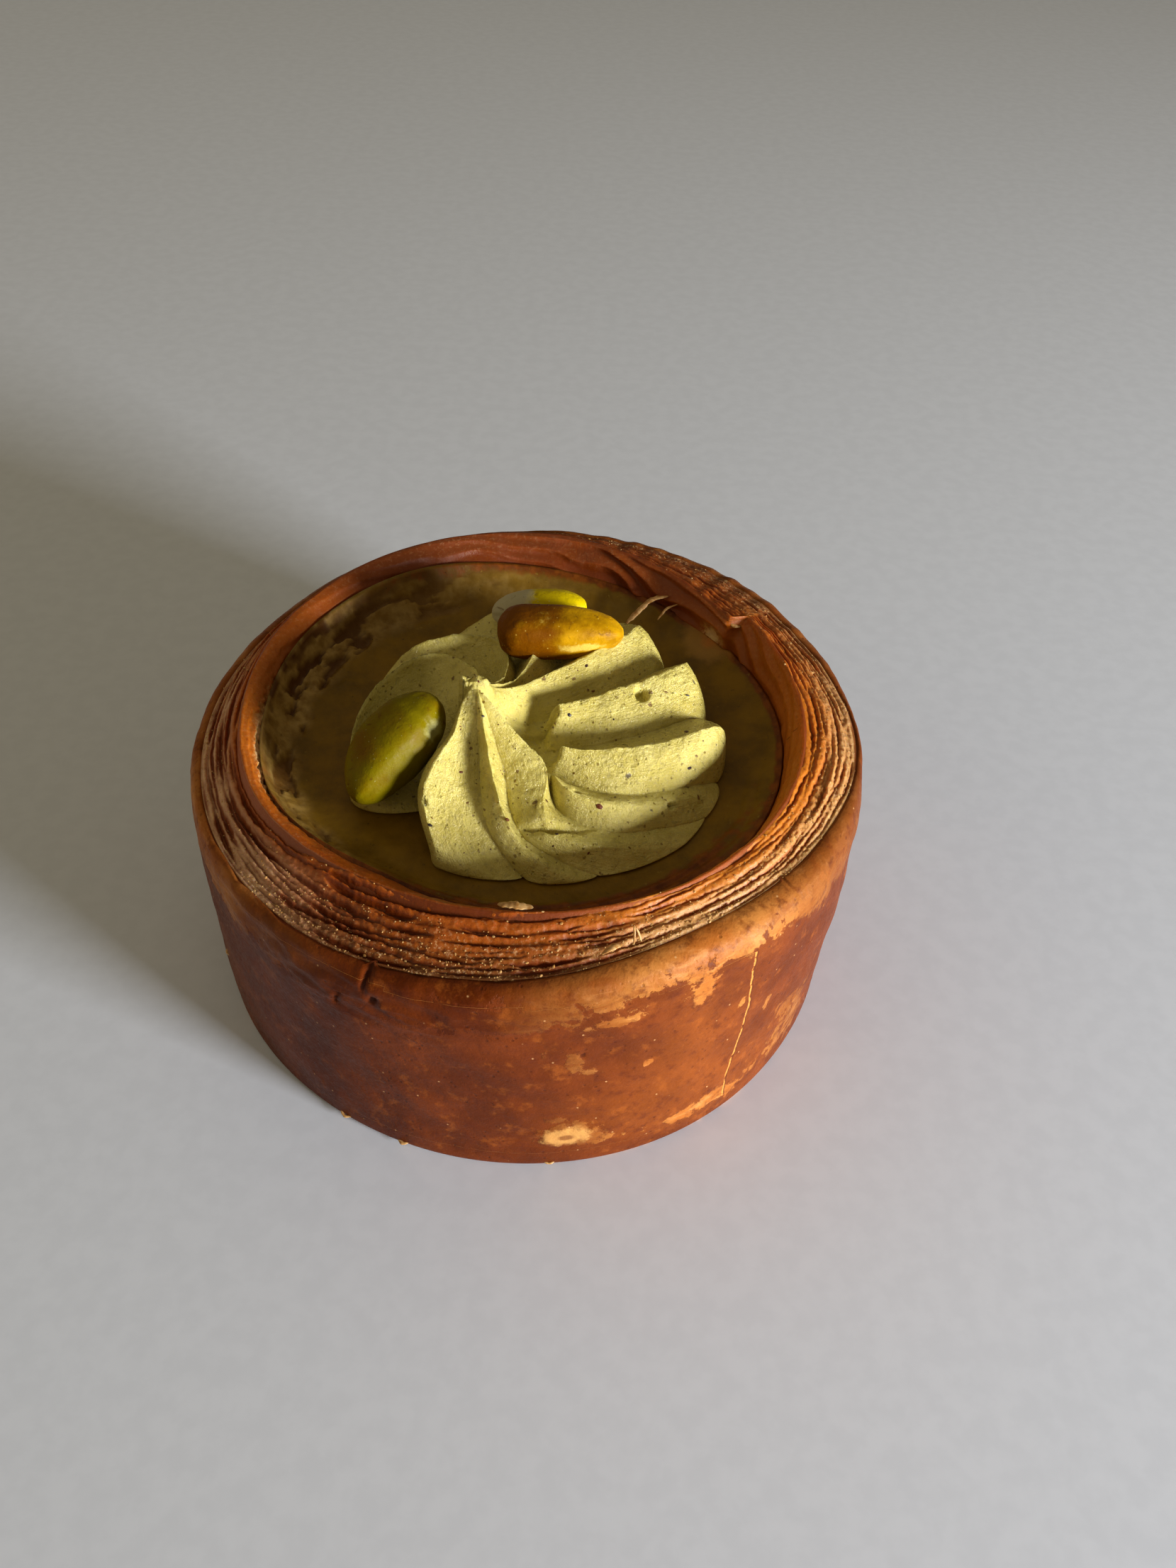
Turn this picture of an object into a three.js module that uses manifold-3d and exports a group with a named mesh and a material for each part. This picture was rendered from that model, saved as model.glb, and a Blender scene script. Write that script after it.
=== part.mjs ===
import * as THREE from 'three';
import Module from 'manifold-3d';

// A small straight-sided pastry tart filled with custard, with a twisted rosette of cream
// and three pistachio kernels on top. Millimetres, standing on the floor, +Z up.
// Angles are in degrees from the right-hand side, turning towards the back; the front is at 270.

// Pastry case; values that change round the case are given every 30 degrees from angle 0
const FOOT_RADIUS = [41.2, 41.6, 42.0, 42.0, 42.0, 41.8, 41.7, 42.0, 41.9, 42.1, 42.1, 41.5];
const FOOT_ROUND = 0.6;
const WALL_RADIUS = 41.9;
const WALL_UNEVEN = 0.2;
const WALL_OVAL = 0.2;
const STRAIGHT_HEIGHT = 24;
const SMOOTH_FOOT_HEIGHT = 8;
const WALL_ROWS = 5;
const SHOULDER_DROP = 4.2;
const SHOULDER_ROWS = [0.5, 0.8];
const EDGE_RADIUS = [41.2, 39.9, 39.8, 39.9, 39.8, 39.8, 40.6, 40.9, 40.6, 39.5, 38.3, 39.2];
const EDGE_HEIGHT = [33.6, 35.0, 35.9, 35.8, 35.4, 33.8, 32.8, 32.2, 32.4, 33.0, 34.4, 34.2];
const CREST_RADIUS = [33.8, 34.6, 36.2, 37.6, 37.9, 37.0, 36.0, 35.0, 32.8, 32.4, 33.0, 33.4];
const CREST_HEIGHT = [36.2, 36.4, 36.8, 37.0, 36.9, 36.5, 36.3, 36.1, 36.0, 36.2, 36.3, 36.2];
const LIP_RADIUS = [31.7, 32.4, 33.4, 34.2, 35.8, 35.4, 33.3, 32.2, 28.8, 29.6, 30.8, 31.4];
const LIP_HEIGHT = [32.5, 32.8, 33.4, 33.4, 34.2, 33.8, 33.2, 33.0, 32.6, 32.0, 31.8, 32.0];
const SHEET_GAP = [1.2, 0.9, 0.7, 0.45, 0.3, 0.5, 1.0, 1.3, 1.4, 1.0, 0.8, 1.0];
const SHEETS = 8;
const SHEET_FLUTTER = 0.28;
const RIM_BULGE = 0.8;
const INNER_RADIUS = 33.0;
const INNER_STRAIGHT_HEIGHT = 13.0;
const LIP_DEPTH = 7.0;
const FLOOR_RADIUS = 31.0;
const FLOOR_HEIGHT = 5.0;
const ROUND_STEPS = 120;

// Places where the outer skin is torn at its upper edge: angle, half width in degrees, depth
const SKIN_TEARS = [[247.5, 2.2, 1.6], [321, 2.0, 0.9]];

// Inner end of the rolled dough, a flap that stands out from the inside of the rim
const FLAP_START = 35;
const FLAP_FULL = 39;
const FLAP_END = 95;
const FLAP_LIP_STEP = 2.4;
const FLAP_CREST_STEP = 1.6;

// Custard filling
const CUSTARD_LEVEL = 29.9;
const CUSTARD_FLAT_RADIUS = 25.0;
const CUSTARD_ROWS = [0.72, 0.45, 0.2, 0];
const TOUCH_GAP = 0.3;

// Cream rosette, one row a petal: outer angle, twist to the centre, torn inner end, reach,
// share of the width before it that is its steep face
const ROSETTE_CENTRE = [0.5, -0.3];
const ROSETTE_PEAK = [-6.0, -5.0, 44.4];
const ROSETTE_BASE = CUSTARD_LEVEL + TOUCH_GAP;
const ROSETTE_HOLLOW = 0.88;
const PETALS = [
  [5, 62, 0.41, 24.8, 0.4],
  [36, 33, 0.28, 24.2, 0.4],
  [64, 22, 0.12, 23.8, 0.4],
  [108, 56, 0.0, 23.6, 0.35],
  [158, 96, 0.0, 23.8, 0.3],
  [195, 80, 0.0, 24.3, 0.3],
  [244, 38, 0.0, 24.4, 0.16],
  [276, 50, 0.62, 23.8, 0.4],
  [291, 56, 0.0, 23.0, 0.4],
  [317, 32, 0.2, 24.2, 0.4],
];
const SLOPE_COLUMNS = 4;
const FACE_COLUMNS = 4;
const ROSETTE_ROWS = [1.0, 0.965, 0.9, 0.82, 0.73, 0.63, 0.53, 0.43, 0.34, 0.26, 0.18, 0.11, 0.05];
const RIDGE_RISE = 8.4;
const RIDGE_FLATNESS = 3.6;
const RIDGE_END_ROUNDNESS = 0.45;
const VALLEY_RISE = 3.8;
const VALLEY_FALL = 1.2;
const TWIST_BEND = 1.5;
const TORN_LENGTH = 0.09;
const PEAK_SPREAD = 0.165;
const PEAK_BLUNTNESS = 1.5;

// Pistachio kernels, given by their two ends, width and thickness
const KERNELS = {
  pistachio_left: {
    tail: [-20.9, -14.6, 33.9],
    tip: [-10.9, -3.4, 40.6],
    width: 8.4,
    thick: 7.4,
    seam: 20,
    colour: 0x8a8a1c,
  },
  pistachio_front: {
    tail: [-5.0, 10.2, 40.6],
    tip: [11.2, 11.4, 40.2],
    width: 6.8,
    thick: 6.6,
    seam: 250,
    colour: 0xb47a12,
  },
  pistachio_back: {
    tail: [-5.6, 17.3, 39.8],
    tip: [6.6, 18.1, 40.0],
    width: 6.4,
    thick: 6.4,
    seam: 160,
    colour: 0x9a9a14,
  },
};
const KERNEL_COLUMNS = 20;
const KERNEL_ROWS = 11;
const TAIL_ROUNDNESS = 3.2;
const TIP_ROUNDNESS = 2.1;
const KERNEL_TAPER = 0.08;
const SEAM_DEPTH = 0.45;
const SEAM_SHARPNESS = 34;

const FULL_TURN = 360;

// Waves that make pastry uneven: how many round the tart, shift a seed, start, share
const WAVES = [[5, 2.1, 0.0, 0.45], [11, 1.3, 0.7, 0.3], [23, 4.7, 1.9, 0.25]];

function radians(angle) {
  return THREE.MathUtils.degToRad(angle);
}

function mix(from, to, part) {
  return from + (to - from) * part;
}

function ease(from, to, value) {
  return THREE.MathUtils.smoothstep(value, from, to);
}

// Smooth value at an angle from a list of values spaced evenly round the tart
function around(values, angle) {
  const count = values.length;
  const place = (THREE.MathUtils.euclideanModulo(angle, FULL_TURN) / FULL_TURN) * count;
  const index = Math.floor(place);
  const part = place - index;
  const at = (step) => values[(index + step + count) % count];
  const bend = at(2) - at(-1) + 3 * (at(0) - at(1));
  const start = 2 * at(-1) - 5 * at(0) + 4 * at(1) - at(2);
  return at(0) + 0.5 * part * (at(1) - at(-1) + part * (start + part * bend));
}

// Uneven waviness between -1 and 1 that closes on itself round the tart
function wave(angle, seed) {
  let sum = 0;
  for (const [count, shift, start, share] of WAVES) {
    sum += share * Math.sin(count * radians(angle) + shift * seed + start);
  }
  return sum;
}

function flapAmount(angle) {
  return ease(FLAP_START, FLAP_FULL, angle) * (1 - ease(FLAP_FULL, FLAP_END, angle));
}

function lipRadius(angle) {
  return around(LIP_RADIUS, angle) - FLAP_LIP_STEP * flapAmount(angle);
}

function wallRadius(angle, height) {
  const oval = WALL_OVAL * Math.sin(2 * radians(angle) + 1);
  const uneven = WALL_UNEVEN * wave(angle + 2 * height, 3) + oval;
  const upright = mix(around(FOOT_RADIUS, angle), WALL_RADIUS, ease(0, STRAIGHT_HEIGHT, height));
  return upright + uneven * ease(0, SMOOTH_FOOT_HEIGHT, height);
}

function edgeHeightAt(angle) {
  let height = around(EDGE_HEIGHT, angle);
  for (const [place, halfWidth, depth] of SKIN_TEARS) {
    height -= depth * Math.exp(-Math.pow((angle - place) / halfWidth, 2));
  }
  return height;
}

// Closed surface from a grid of points: columns turn round the axis, rows run from the lower
// end over the outside to the upper end
function closedGrid(columns, rows, pointAt, lowerEnd, upperEnd) {
  const places = [];
  for (let row = 0; row < rows; row += 1) {
    for (let column = 0; column < columns; column += 1) {
      places.push(...pointAt(column, row));
    }
  }
  const lower = places.length / 3;
  places.push(...lowerEnd);
  const upper = places.length / 3;
  places.push(...upperEnd);
  const faces = [];
  const lastRow = (rows - 1) * columns;
  for (let column = 0; column < columns; column += 1) {
    const next = (column + 1) % columns;
    faces.push(lower, next, column);
    faces.push(upper, lastRow + column, lastRow + next);
    for (let row = 0; row + 1 < rows; row += 1) {
      const here = row * columns;
      const above = here + columns;
      faces.push(here + column, here + next, above + next);
      faces.push(here + column, above + next, above + column);
    }
  }
  return { places, faces };
}

function geometryOf(surface) {
  const geometry = new THREE.BufferGeometry();
  geometry.setAttribute('position', new THREE.Float32BufferAttribute(surface.places, 3));
  geometry.setIndex(surface.faces);
  return geometry;
}

function turned(radius, angle, height) {
  return [radius * Math.cos(radians(angle)), radius * Math.sin(radians(angle)), height];
}

// Section through the case at an angle, from the foot over the rim to the inside floor
function caseSection(angle) {
  const edgeRadius = around(EDGE_RADIUS, angle);
  const edgeHeight = edgeHeightAt(angle);
  const crestRadius = around(CREST_RADIUS, angle) - FLAP_CREST_STEP * flapAmount(angle);
  const crestHeight = around(CREST_HEIGHT, angle);
  const gap = around(SHEET_GAP, angle);
  const shoulder = edgeHeight - SHOULDER_DROP;
  const foot = around(FOOT_RADIUS, angle);
  const section = [[foot - FOOT_ROUND, 0], [foot, FOOT_ROUND]];
  for (let row = 1; row <= WALL_ROWS; row += 1) {
    const height = mix(FOOT_ROUND, shoulder, row / WALL_ROWS);
    section.push([wallRadius(angle, height), height]);
  }
  const shoulderRadius = wallRadius(angle, shoulder);
  for (const part of SHOULDER_ROWS) {
    const inward = 1 - Math.sqrt(1 - part * part);
    section.push([mix(shoulderRadius, edgeRadius, inward), shoulder + part * SHOULDER_DROP]);
  }
  const bands = 2 * SHEETS;
  for (let band = 0; band <= bands; band += 1) {
    const part = band / bands;
    const level = mix(edgeHeight, crestHeight, Math.pow(part, RIM_BULGE));
    const groove = band % 2 === 1 ? gap : 0;
    const flutter = SHEET_FLUTTER * wave(angle, band) * Math.min(1, gap);
    section.push([mix(edgeRadius, crestRadius, part), level - groove + flutter]);
  }
  const lip = lipRadius(angle);
  const lipHeight = around(LIP_HEIGHT, angle);
  section.push([mix(crestRadius, lip, 0.5), mix(crestHeight, lipHeight, 0.4)]);
  section.push([lip, lipHeight]);
  section.push([(lip + INNER_RADIUS) / 2, lipHeight - LIP_DEPTH]);
  section.push([INNER_RADIUS, INNER_STRAIGHT_HEIGHT]);
  section.push([FLOOR_RADIUS, FLOOR_HEIGHT]);
  return section;
}

function pastryCase() {
  const sections = [];
  for (let step = 0; step < ROUND_STEPS; step += 1) {
    sections.push(caseSection((step * FULL_TURN) / ROUND_STEPS));
  }
  const pointAt = (column, row) => {
    const [radius, height] = sections[column][row];
    return turned(radius, (column * FULL_TURN) / ROUND_STEPS, height);
  };
  const floor = [0, 0, FLOOR_HEIGHT];
  return closedGrid(ROUND_STEPS, sections[0].length, pointAt, [0, 0, 0], floor);
}

// Section through the custard, from its underside up the case and over its dished top
function custardSection(angle) {
  const lip = lipRadius(angle) - TOUCH_GAP;
  const lipHeight = around(LIP_HEIGHT, angle);
  const inner = INNER_RADIUS - TOUCH_GAP;
  const section = [
    [FLOOR_RADIUS - TOUCH_GAP, FLOOR_HEIGHT + TOUCH_GAP],
    [inner, INNER_STRAIGHT_HEIGHT],
    [(lip + inner) / 2, lipHeight - LIP_DEPTH],
    [lip, lipHeight - TOUCH_GAP],
  ];
  for (const part of CUSTARD_ROWS) {
    const height = mix(CUSTARD_LEVEL, lipHeight - TOUCH_GAP, part * part);
    section.push([mix(CUSTARD_FLAT_RADIUS, lip, part), height]);
  }
  return section;
}

function custard() {
  const pointAt = (column, row) => {
    const angle = (column * FULL_TURN) / ROUND_STEPS;
    const [radius, height] = custardSection(angle)[row];
    return turned(radius, angle, height);
  };
  const rows = custardSection(0).length;
  const underside = [0, 0, FLOOR_HEIGHT + TOUCH_GAP];
  return closedGrid(ROUND_STEPS, rows, pointAt, underside, [0, 0, CUSTARD_LEVEL]);
}

// Point on the cream between a petal and the next one: the slope behind the petal falls from
// its ridge to the valley, then the face of the next petal rises to the next ridge
function rosettePoint(petal, column, out) {
  const next = (petal + 1) % PETALS.length;
  const lap = next === 0 ? FULL_TURN : 0;
  const [hereAngle, hereTwist, hereTorn, hereReach] = PETALS[petal];
  const [nextAngle, nextTwist, nextTorn, nextReach, face] = PETALS[next];
  const onFace = column >= SLOPE_COLUMNS;
  const step = onFace ? (column - SLOPE_COLUMNS) / FACE_COLUMNS : column / SLOPE_COLUMNS;
  const part = onFace ? 1 - face + face * step : (1 - face) * step;
  const quarterTurn = (Math.PI / 2) * step;
  const shape = onFace ? Math.sin(quarterTurn) : 1 - step;
  const lobe = Math.sqrt(onFace ? Math.sin(quarterTurn) : Math.cos(quarterTurn));
  const torn = onFace ? nextTorn : hereTorn;
  const whole = torn > 0 ? ease(torn - TORN_LENGTH, torn, out) : 1;
  const twist = mix(hereTwist, nextTwist, part) * (1 - Math.pow(out, TWIST_BEND));
  const angle = mix(hereAngle, nextAngle + lap, part) - twist;
  const radius = mix(hereReach, nextReach, part) * mix(ROSETTE_HOLLOW, 1, lobe) * out;
  const ridgeHeight = RIDGE_RISE * Math.pow(1 - Math.pow(out, RIDGE_FLATNESS), RIDGE_END_ROUNDNESS);
  const valleyHeight = VALLEY_RISE * (1 - Math.pow(out, VALLEY_FALL));
  const body = mix(valleyHeight, ridgeHeight, shape * whole);
  const peak = Math.exp(-Math.pow(out / PEAK_SPREAD, PEAK_BLUNTNESS));
  const height = mix(body, ROSETTE_PEAK[2] - ROSETTE_BASE, peak);
  const lean = Math.pow(1 - out, 2);
  const [x, y] = turned(radius, angle, 0);
  return [
    x + mix(ROSETTE_CENTRE[0], ROSETTE_PEAK[0], lean),
    y + mix(ROSETTE_CENTRE[1], ROSETTE_PEAK[1], lean),
    ROSETTE_BASE + height,
  ];
}

function creamRosette() {
  const across = SLOPE_COLUMNS + FACE_COLUMNS;
  const pointAt = (column, row) => (
    rosettePoint(Math.floor(column / across), column % across, ROSETTE_ROWS[row])
  );
  const underside = [ROSETTE_CENTRE[0], ROSETTE_CENTRE[1], ROSETTE_BASE];
  const columns = PETALS.length * across;
  return closedGrid(columns, ROSETTE_ROWS.length, pointAt, underside, ROSETTE_PEAK);
}

// Kernel along its own X axis with a blunt tail, a narrower tip and a seam along one side.
// The seat for a kernel is the same shape grown all round by extra, without the seam.
function kernel(shape, extra) {
  const halfLength = new THREE.Vector3(...shape.tail).distanceTo(new THREE.Vector3(...shape.tip)) / 2 + extra;
  const pointAt = (column, row) => {
    const angle = (column * FULL_TURN) / KERNEL_COLUMNS;
    const place = -Math.cos((Math.PI * (row + 1)) / (KERNEL_ROWS + 1));
    const roundness = place < 0 ? TAIL_ROUNDNESS : TIP_ROUNDNESS;
    const girth = Math.sqrt(1 - Math.pow(Math.abs(place), roundness)) * (1 - KERNEL_TAPER * place);
    const offSeam = Math.cos(radians(angle - shape.seam)) - 1;
    const seam = extra > 0 ? 0 : SEAM_DEPTH * Math.exp(offSeam * SEAM_SHARPNESS) * girth;
    const wide = (shape.width / 2 + extra) * girth - seam;
    const thick = (shape.thick / 2 + extra) * girth - seam;
    return [place * halfLength, wide * Math.cos(radians(angle)), thick * Math.sin(radians(angle))];
  };
  return closedGrid(KERNEL_COLUMNS, KERNEL_ROWS, pointAt, [-halfLength, 0, 0], [halfLength, 0, 0]);
}

// Where a kernel lies: its X axis from tail to tip and its Y axis level
function kernelPlace(shape) {
  const tail = new THREE.Vector3(...shape.tail);
  const tip = new THREE.Vector3(...shape.tip);
  const along = tip.clone().sub(tail).normalize();
  const side = new THREE.Vector3(0, 0, 1).cross(along).normalize();
  const above = along.clone().cross(side);
  const place = new THREE.Matrix4().makeBasis(along, side, above);
  return place.setPosition(tail.lerp(tip, 0.5));
}

const wasm = await Module();
wasm.setup();

function solidOf(geometry) {
  const mesh = new wasm.Mesh({
    numProp: 3,
    vertProperties: new Float32Array(geometry.attributes.position.array),
    triVerts: new Uint32Array(geometry.index.array),
  });
  return new wasm.Manifold(mesh);
}

// Cream with a seat pressed into it under each kernel
function seatedRosette() {
  let solid = solidOf(geometryOf(creamRosette()));
  for (const shape of Object.values(KERNELS)) {
    const seat = geometryOf(kernel(shape, TOUCH_GAP)).applyMatrix4(kernelPlace(shape));
    solid = solid.subtract(solidOf(seat));
  }
  const result = solid.getMesh();
  return { places: Array.from(result.vertProperties), faces: Array.from(result.triVerts) };
}

const tart = new THREE.Group();

function addPiece(name, surface, colour, roughness) {
  const geometry = geometryOf(surface);
  geometry.computeVertexNormals();
  const mesh = new THREE.Mesh(geometry, new THREE.MeshStandardMaterial({ color: colour, roughness }));
  mesh.name = name;
  tart.add(mesh);
  return mesh;
}

addPiece('pastry_case', pastryCase(), 0xb4682c, 0.6);
addPiece('custard', custard(), 0x8a7d3a, 0.45);
addPiece('cream_rosette', seatedRosette(), 0xd9cc86, 0.5);
for (const [name, shape] of Object.entries(KERNELS)) {
  addPiece(name, kernel(shape, 0), shape.colour, 0.4).applyMatrix4(kernelPlace(shape));
}

export default tart;
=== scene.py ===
import math
import random
from collections import namedtuple

import bmesh
import bpy
from mathutils import Matrix, Vector, noise


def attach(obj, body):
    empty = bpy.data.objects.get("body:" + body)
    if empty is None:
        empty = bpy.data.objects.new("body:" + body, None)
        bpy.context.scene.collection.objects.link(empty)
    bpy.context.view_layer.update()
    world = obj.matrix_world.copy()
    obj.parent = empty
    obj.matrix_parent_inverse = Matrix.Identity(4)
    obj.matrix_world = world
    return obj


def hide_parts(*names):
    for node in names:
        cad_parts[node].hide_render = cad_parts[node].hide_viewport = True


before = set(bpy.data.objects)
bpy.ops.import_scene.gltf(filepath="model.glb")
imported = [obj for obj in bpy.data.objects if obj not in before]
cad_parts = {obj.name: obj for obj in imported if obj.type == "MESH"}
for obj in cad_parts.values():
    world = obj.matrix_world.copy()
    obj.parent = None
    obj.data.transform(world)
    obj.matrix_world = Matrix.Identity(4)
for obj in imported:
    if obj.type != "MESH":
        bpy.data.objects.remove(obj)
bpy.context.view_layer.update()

# The tart is worked out in millimetres, with angles in degrees from the right-hand side
# turning towards the back, so the front is at 270. Lists round the tart are every 30 degrees.
MILLIMETRE = 0.001
FULL_TURN = 360.0
WELD = 0.0005

# Pastry case
FOOT_RADIUS = [41.2, 41.6, 42.0, 42.0, 42.0, 41.8, 41.7, 42.0, 41.9, 42.1, 42.1, 41.5]
FOOT_ROUND = 0.6
WALL_RADIUS = 41.9
WALL_UNEVEN = 0.2
WALL_OVAL = 0.2
STRAIGHT_HEIGHT = 24.0
SMOOTH_FOOT_HEIGHT = 8.0
SHOULDER_DROP = 4.2
EDGE_RADIUS = [41.2, 39.9, 39.8, 39.9, 39.8, 39.8, 40.6, 40.9, 40.6, 39.5, 38.3, 39.2]
EDGE_HEIGHT = [33.6, 35.0, 35.9, 35.8, 35.4, 33.8, 32.8, 32.2, 32.4, 33.0, 34.4, 34.2]
CREST_RADIUS = [33.8, 34.6, 36.2, 37.6, 37.9, 36.8, 35.4, 34.8, 32.8, 32.4, 33.0, 33.4]
CREST_HEIGHT = [36.2, 36.4, 36.8, 37.0, 36.9, 36.5, 36.3, 36.1, 36.0, 36.2, 36.3, 36.2]
LIP_RADIUS = [31.9, 32.6, 33.0, 33.6, 34.9, 34.3, 33.2, 33.0, 29.4, 29.6, 30.8, 31.6]
LIP_HEIGHT = [32.4, 31.6, 32.8, 34.2, 35.4, 35.3, 35.0, 35.0, 33.4, 32.0, 31.8, 32.2]
SHEET_GAP = [0.5, 0.45, 0.45, 0.45, 0.4, 0.5, 0.8, 0.9, 1.0, 0.8, 0.5, 0.48]
RIM_BULGE = [0.8, 0.8, 0.8, 0.8, 0.8, 0.8, 0.9, 1.2, 1.5, 1.35, 1.0, 0.85]
INNER_RADIUS = 33.0
INNER_STRAIGHT_HEIGHT = 13.0
LIP_DEPTH = 7.0
FLOOR_RADIUS = 31.0
FLOOR_HEIGHT = 5.0
SKIN_THICKNESS = 0.4
# Slots torn in the skin from its upper edge: angle, half width in degrees, foot height, depth
SKIN_TEARS = [(249.2, 0.4, 29.8, 0.7), (321.0, 0.6, 33.2, 0.6)]
TEAR_SIDE = 0.3
# Small holes and dents in the skin: angle, height, half width, depth
SKIN_HOLES = [(250.4, 28.6, 0.45, 1.2), (243.5, 25.6, 0.3, 0.7), (302.7, 28.0, 0.3, 0.3),
              (281.8, 22.2, 0.35, 0.3), (243.9, 26.6, 0.25, 0.6), (244.3, 27.4, 0.2, 0.5)]
# Blister near the foot: angle, height, half width in degrees, half height
BLISTER = (279.6, 6.1, 4.3, 1.75)
BLISTER_FAR = 3.0
CRACK_FAR = 3.0
# Flap at the back right: angles where it starts, is full and ends, and how far it takes in the
# lip and the crest
FLAP_START = 36.4
FLAP_FULL = 38.4
FLAP_END = 95.0
FLAP_LIP_STEP = 0.6
FLAP_CREST_STEP = 2.5
CASE_STEPS = 720
WALL_ROWS = 70
SHOULDER_ROWS = 8
GROOVE_ROWS = 10
INNER_FACE_ROWS = 28
# Rows of the section before the wall and after the inner face
FOOT_ROWS = 4
INSIDE_ROWS = 4
# Above this height what lies inside the edge is sheets and not skin
SHEETS_ABOVE = 28.0

# Golden places on the brown skin, then brown ones in its golden band: angle, height, half width
# in degrees, half height, strength
GOLDEN_PLACES = [
    (258.0, 23.4, 6.0, 1.0, 0.7), (269.0, 13.4, 5.0, 1.1, 0.75), (279.6, 6.2, 7.0, 2.8, 0.8),
    (280.6, 21.2, 2.4, 2.6, 0.95), (275.9, 23.2, 1.2, 1.4, 0.8), (300.4, 28.2, 3.0, 2.2, 0.9),
    (288.0, 27.4, 5.0, 1.0, 0.9), (292.4, 18.0, 0.8, 0.6, 1.1), (316.0, 17.5, 1.0, 2.0, 0.75),
    (304.0, 4.2, 13.0, 1.8, 0.55), (326.0, 7.0, 8.0, 8.0, 0.6), (309.0, 22.0, 1.2, 1.4, 0.7),
    (283.5, 18.6, 2.2, 0.8, 0.8), (246.0, 24.4, 5.0, 0.7, 0.55), (276.0, 9.6, 5.0, 0.9, 0.45),
    (20.0, 12.0, 5.0, 2.4, 0.7), (75.0, 17.0, 6.0, 1.2, 0.7), (110.0, 8.0, 4.0, 2.6, 0.7),
    (150.0, 15.0, 7.0, 1.1, 0.7), (60.0, 6.0, 3.0, 1.2, 0.8), (185.0, 11.0, 4.0, 1.6, 0.7),
]
BROWN_PLACES = [
    (318.0, 25.0, 5.0, 5.0, 0.75), (290.0, 25.0, 5.0, 2.6, 0.5), (254.0, 17.0, 26.0, 7.0, 0.6),
    (268.0, 31.4, 15.0, 1.6, 0.35), (294.5, 30.4, 3.0, 0.7, 0.7), (306.0, 30.8, 2.6, 0.6, 0.5),
]
# Height above which the skin is golden, how far brown and gold blur there, how ragged the line is
# at the back, and how golden the skin is below and above it
GOLDEN_LEVEL = [26.0, 25.0, 24.0, 24.0, 24.0, 24.5, 26.0, 27.0, 25.2, 27.2, 31.0, 29.0]
GOLDEN_BLUR = 4.0
GOLDEN_RAGGED = 3.5
BELOW_GOLD, ABOVE_GOLD = -0.42, 0.5
# Warm glow of the brown skin towards gold: angle, height, half width in degrees, half height
WARM_PLACES = [(300.0, 20.0, 9.0, 7.0), (312.0, 8.0, 18.0, 6.0), (286.0, 10.0, 14.0, 5.0)]
WARMTH = 0.7

# Painted light and shade on the skin round the tart, its golden places above all: near 1 its tones are
# painted lit, near 0 painted shaded
SKIN_PAINTED_LIGHT = [0.1, 0.2, 0.3, 0.2, 0.2, 0.3, 0.5, 0.62, 0.05, 0.03, 0.8, 0.3]
# Painted light and shade on the rim round the tart, near 1 painted lit and near 0 painted shaded; and
# how darkly it is baked, below 0 where it is ashen
RIM_PAINTED_LIGHT = [0.5, 0.35, 0.2, 0.1, 0.1, 0.2, 0.4, 0.3, 0.0, 0.0, 0.7, 0.7]
BAKED = [0.0, 0.15, 0.45, 0.8, 0.75, 0.15, -0.8, -0.95, -0.25, 0.0, 0.0, 0.0]

# Crack down the skin, as angle and height from its upper to its lower end
CRACK = [(309.9, 31.0), (310.3, 28.4), (310.7, 20.5), (309.7, 11.3), (308.3, 7.7), (308.3, 2.9)]

# Places round the tart, as the angle of the middle and the spread in degrees
FRONT = (270.0, 75.0)
FOLDED_SKIN = (238.0, 34.0)
TORN_RIM = (52.0, 40.0)
COMBED_SHEETS = (340.0, 45.0)
CRUMBLY_LIP = (194.0, 30.0)
FOLDED_FLAP = (64.0, 34.0)
RAW_PASTRY = (42.5, 6.0)
CRUMBY_RIM = (282.0, 48.0)
CRUSTED_CUSTARD = (165.0, 60.0)
STEPPED_CUSTARD = (285.0, 55.0)
GLOWING_CUSTARD = (43.0, 7.0)
STEEP_PEAK = (350.0, 50.0)
# Heights between which the folds of the skin begin
FOLDS_BEGIN = (22.0, 28.0)

# Layered rim: creases between its sheets, counted from the skin to the crest. Where the sheets
# gather, every other crease closes. Lists round the tart: gathering, packing towards the skin
RIM_CREASES = 13
RIM_ROWS = 62
RIM_STEPS = 1400
RIM_UNDERSIDE = 1.5
CREASE_HALF_WIDTH = 0.17
SHEET_GATHER = [0.1, 0.5, 0.5, 0.3, 0.3, 0.3, 0.5, 0.65, 0.65, 0.4, 0.1, 0.1]
SHEET_PACKING = [1.35, 1.2, 1.0, 1.0, 1.0, 1.0, 1.0, 1.0, 1.0, 1.05, 1.2, 1.35]
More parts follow.
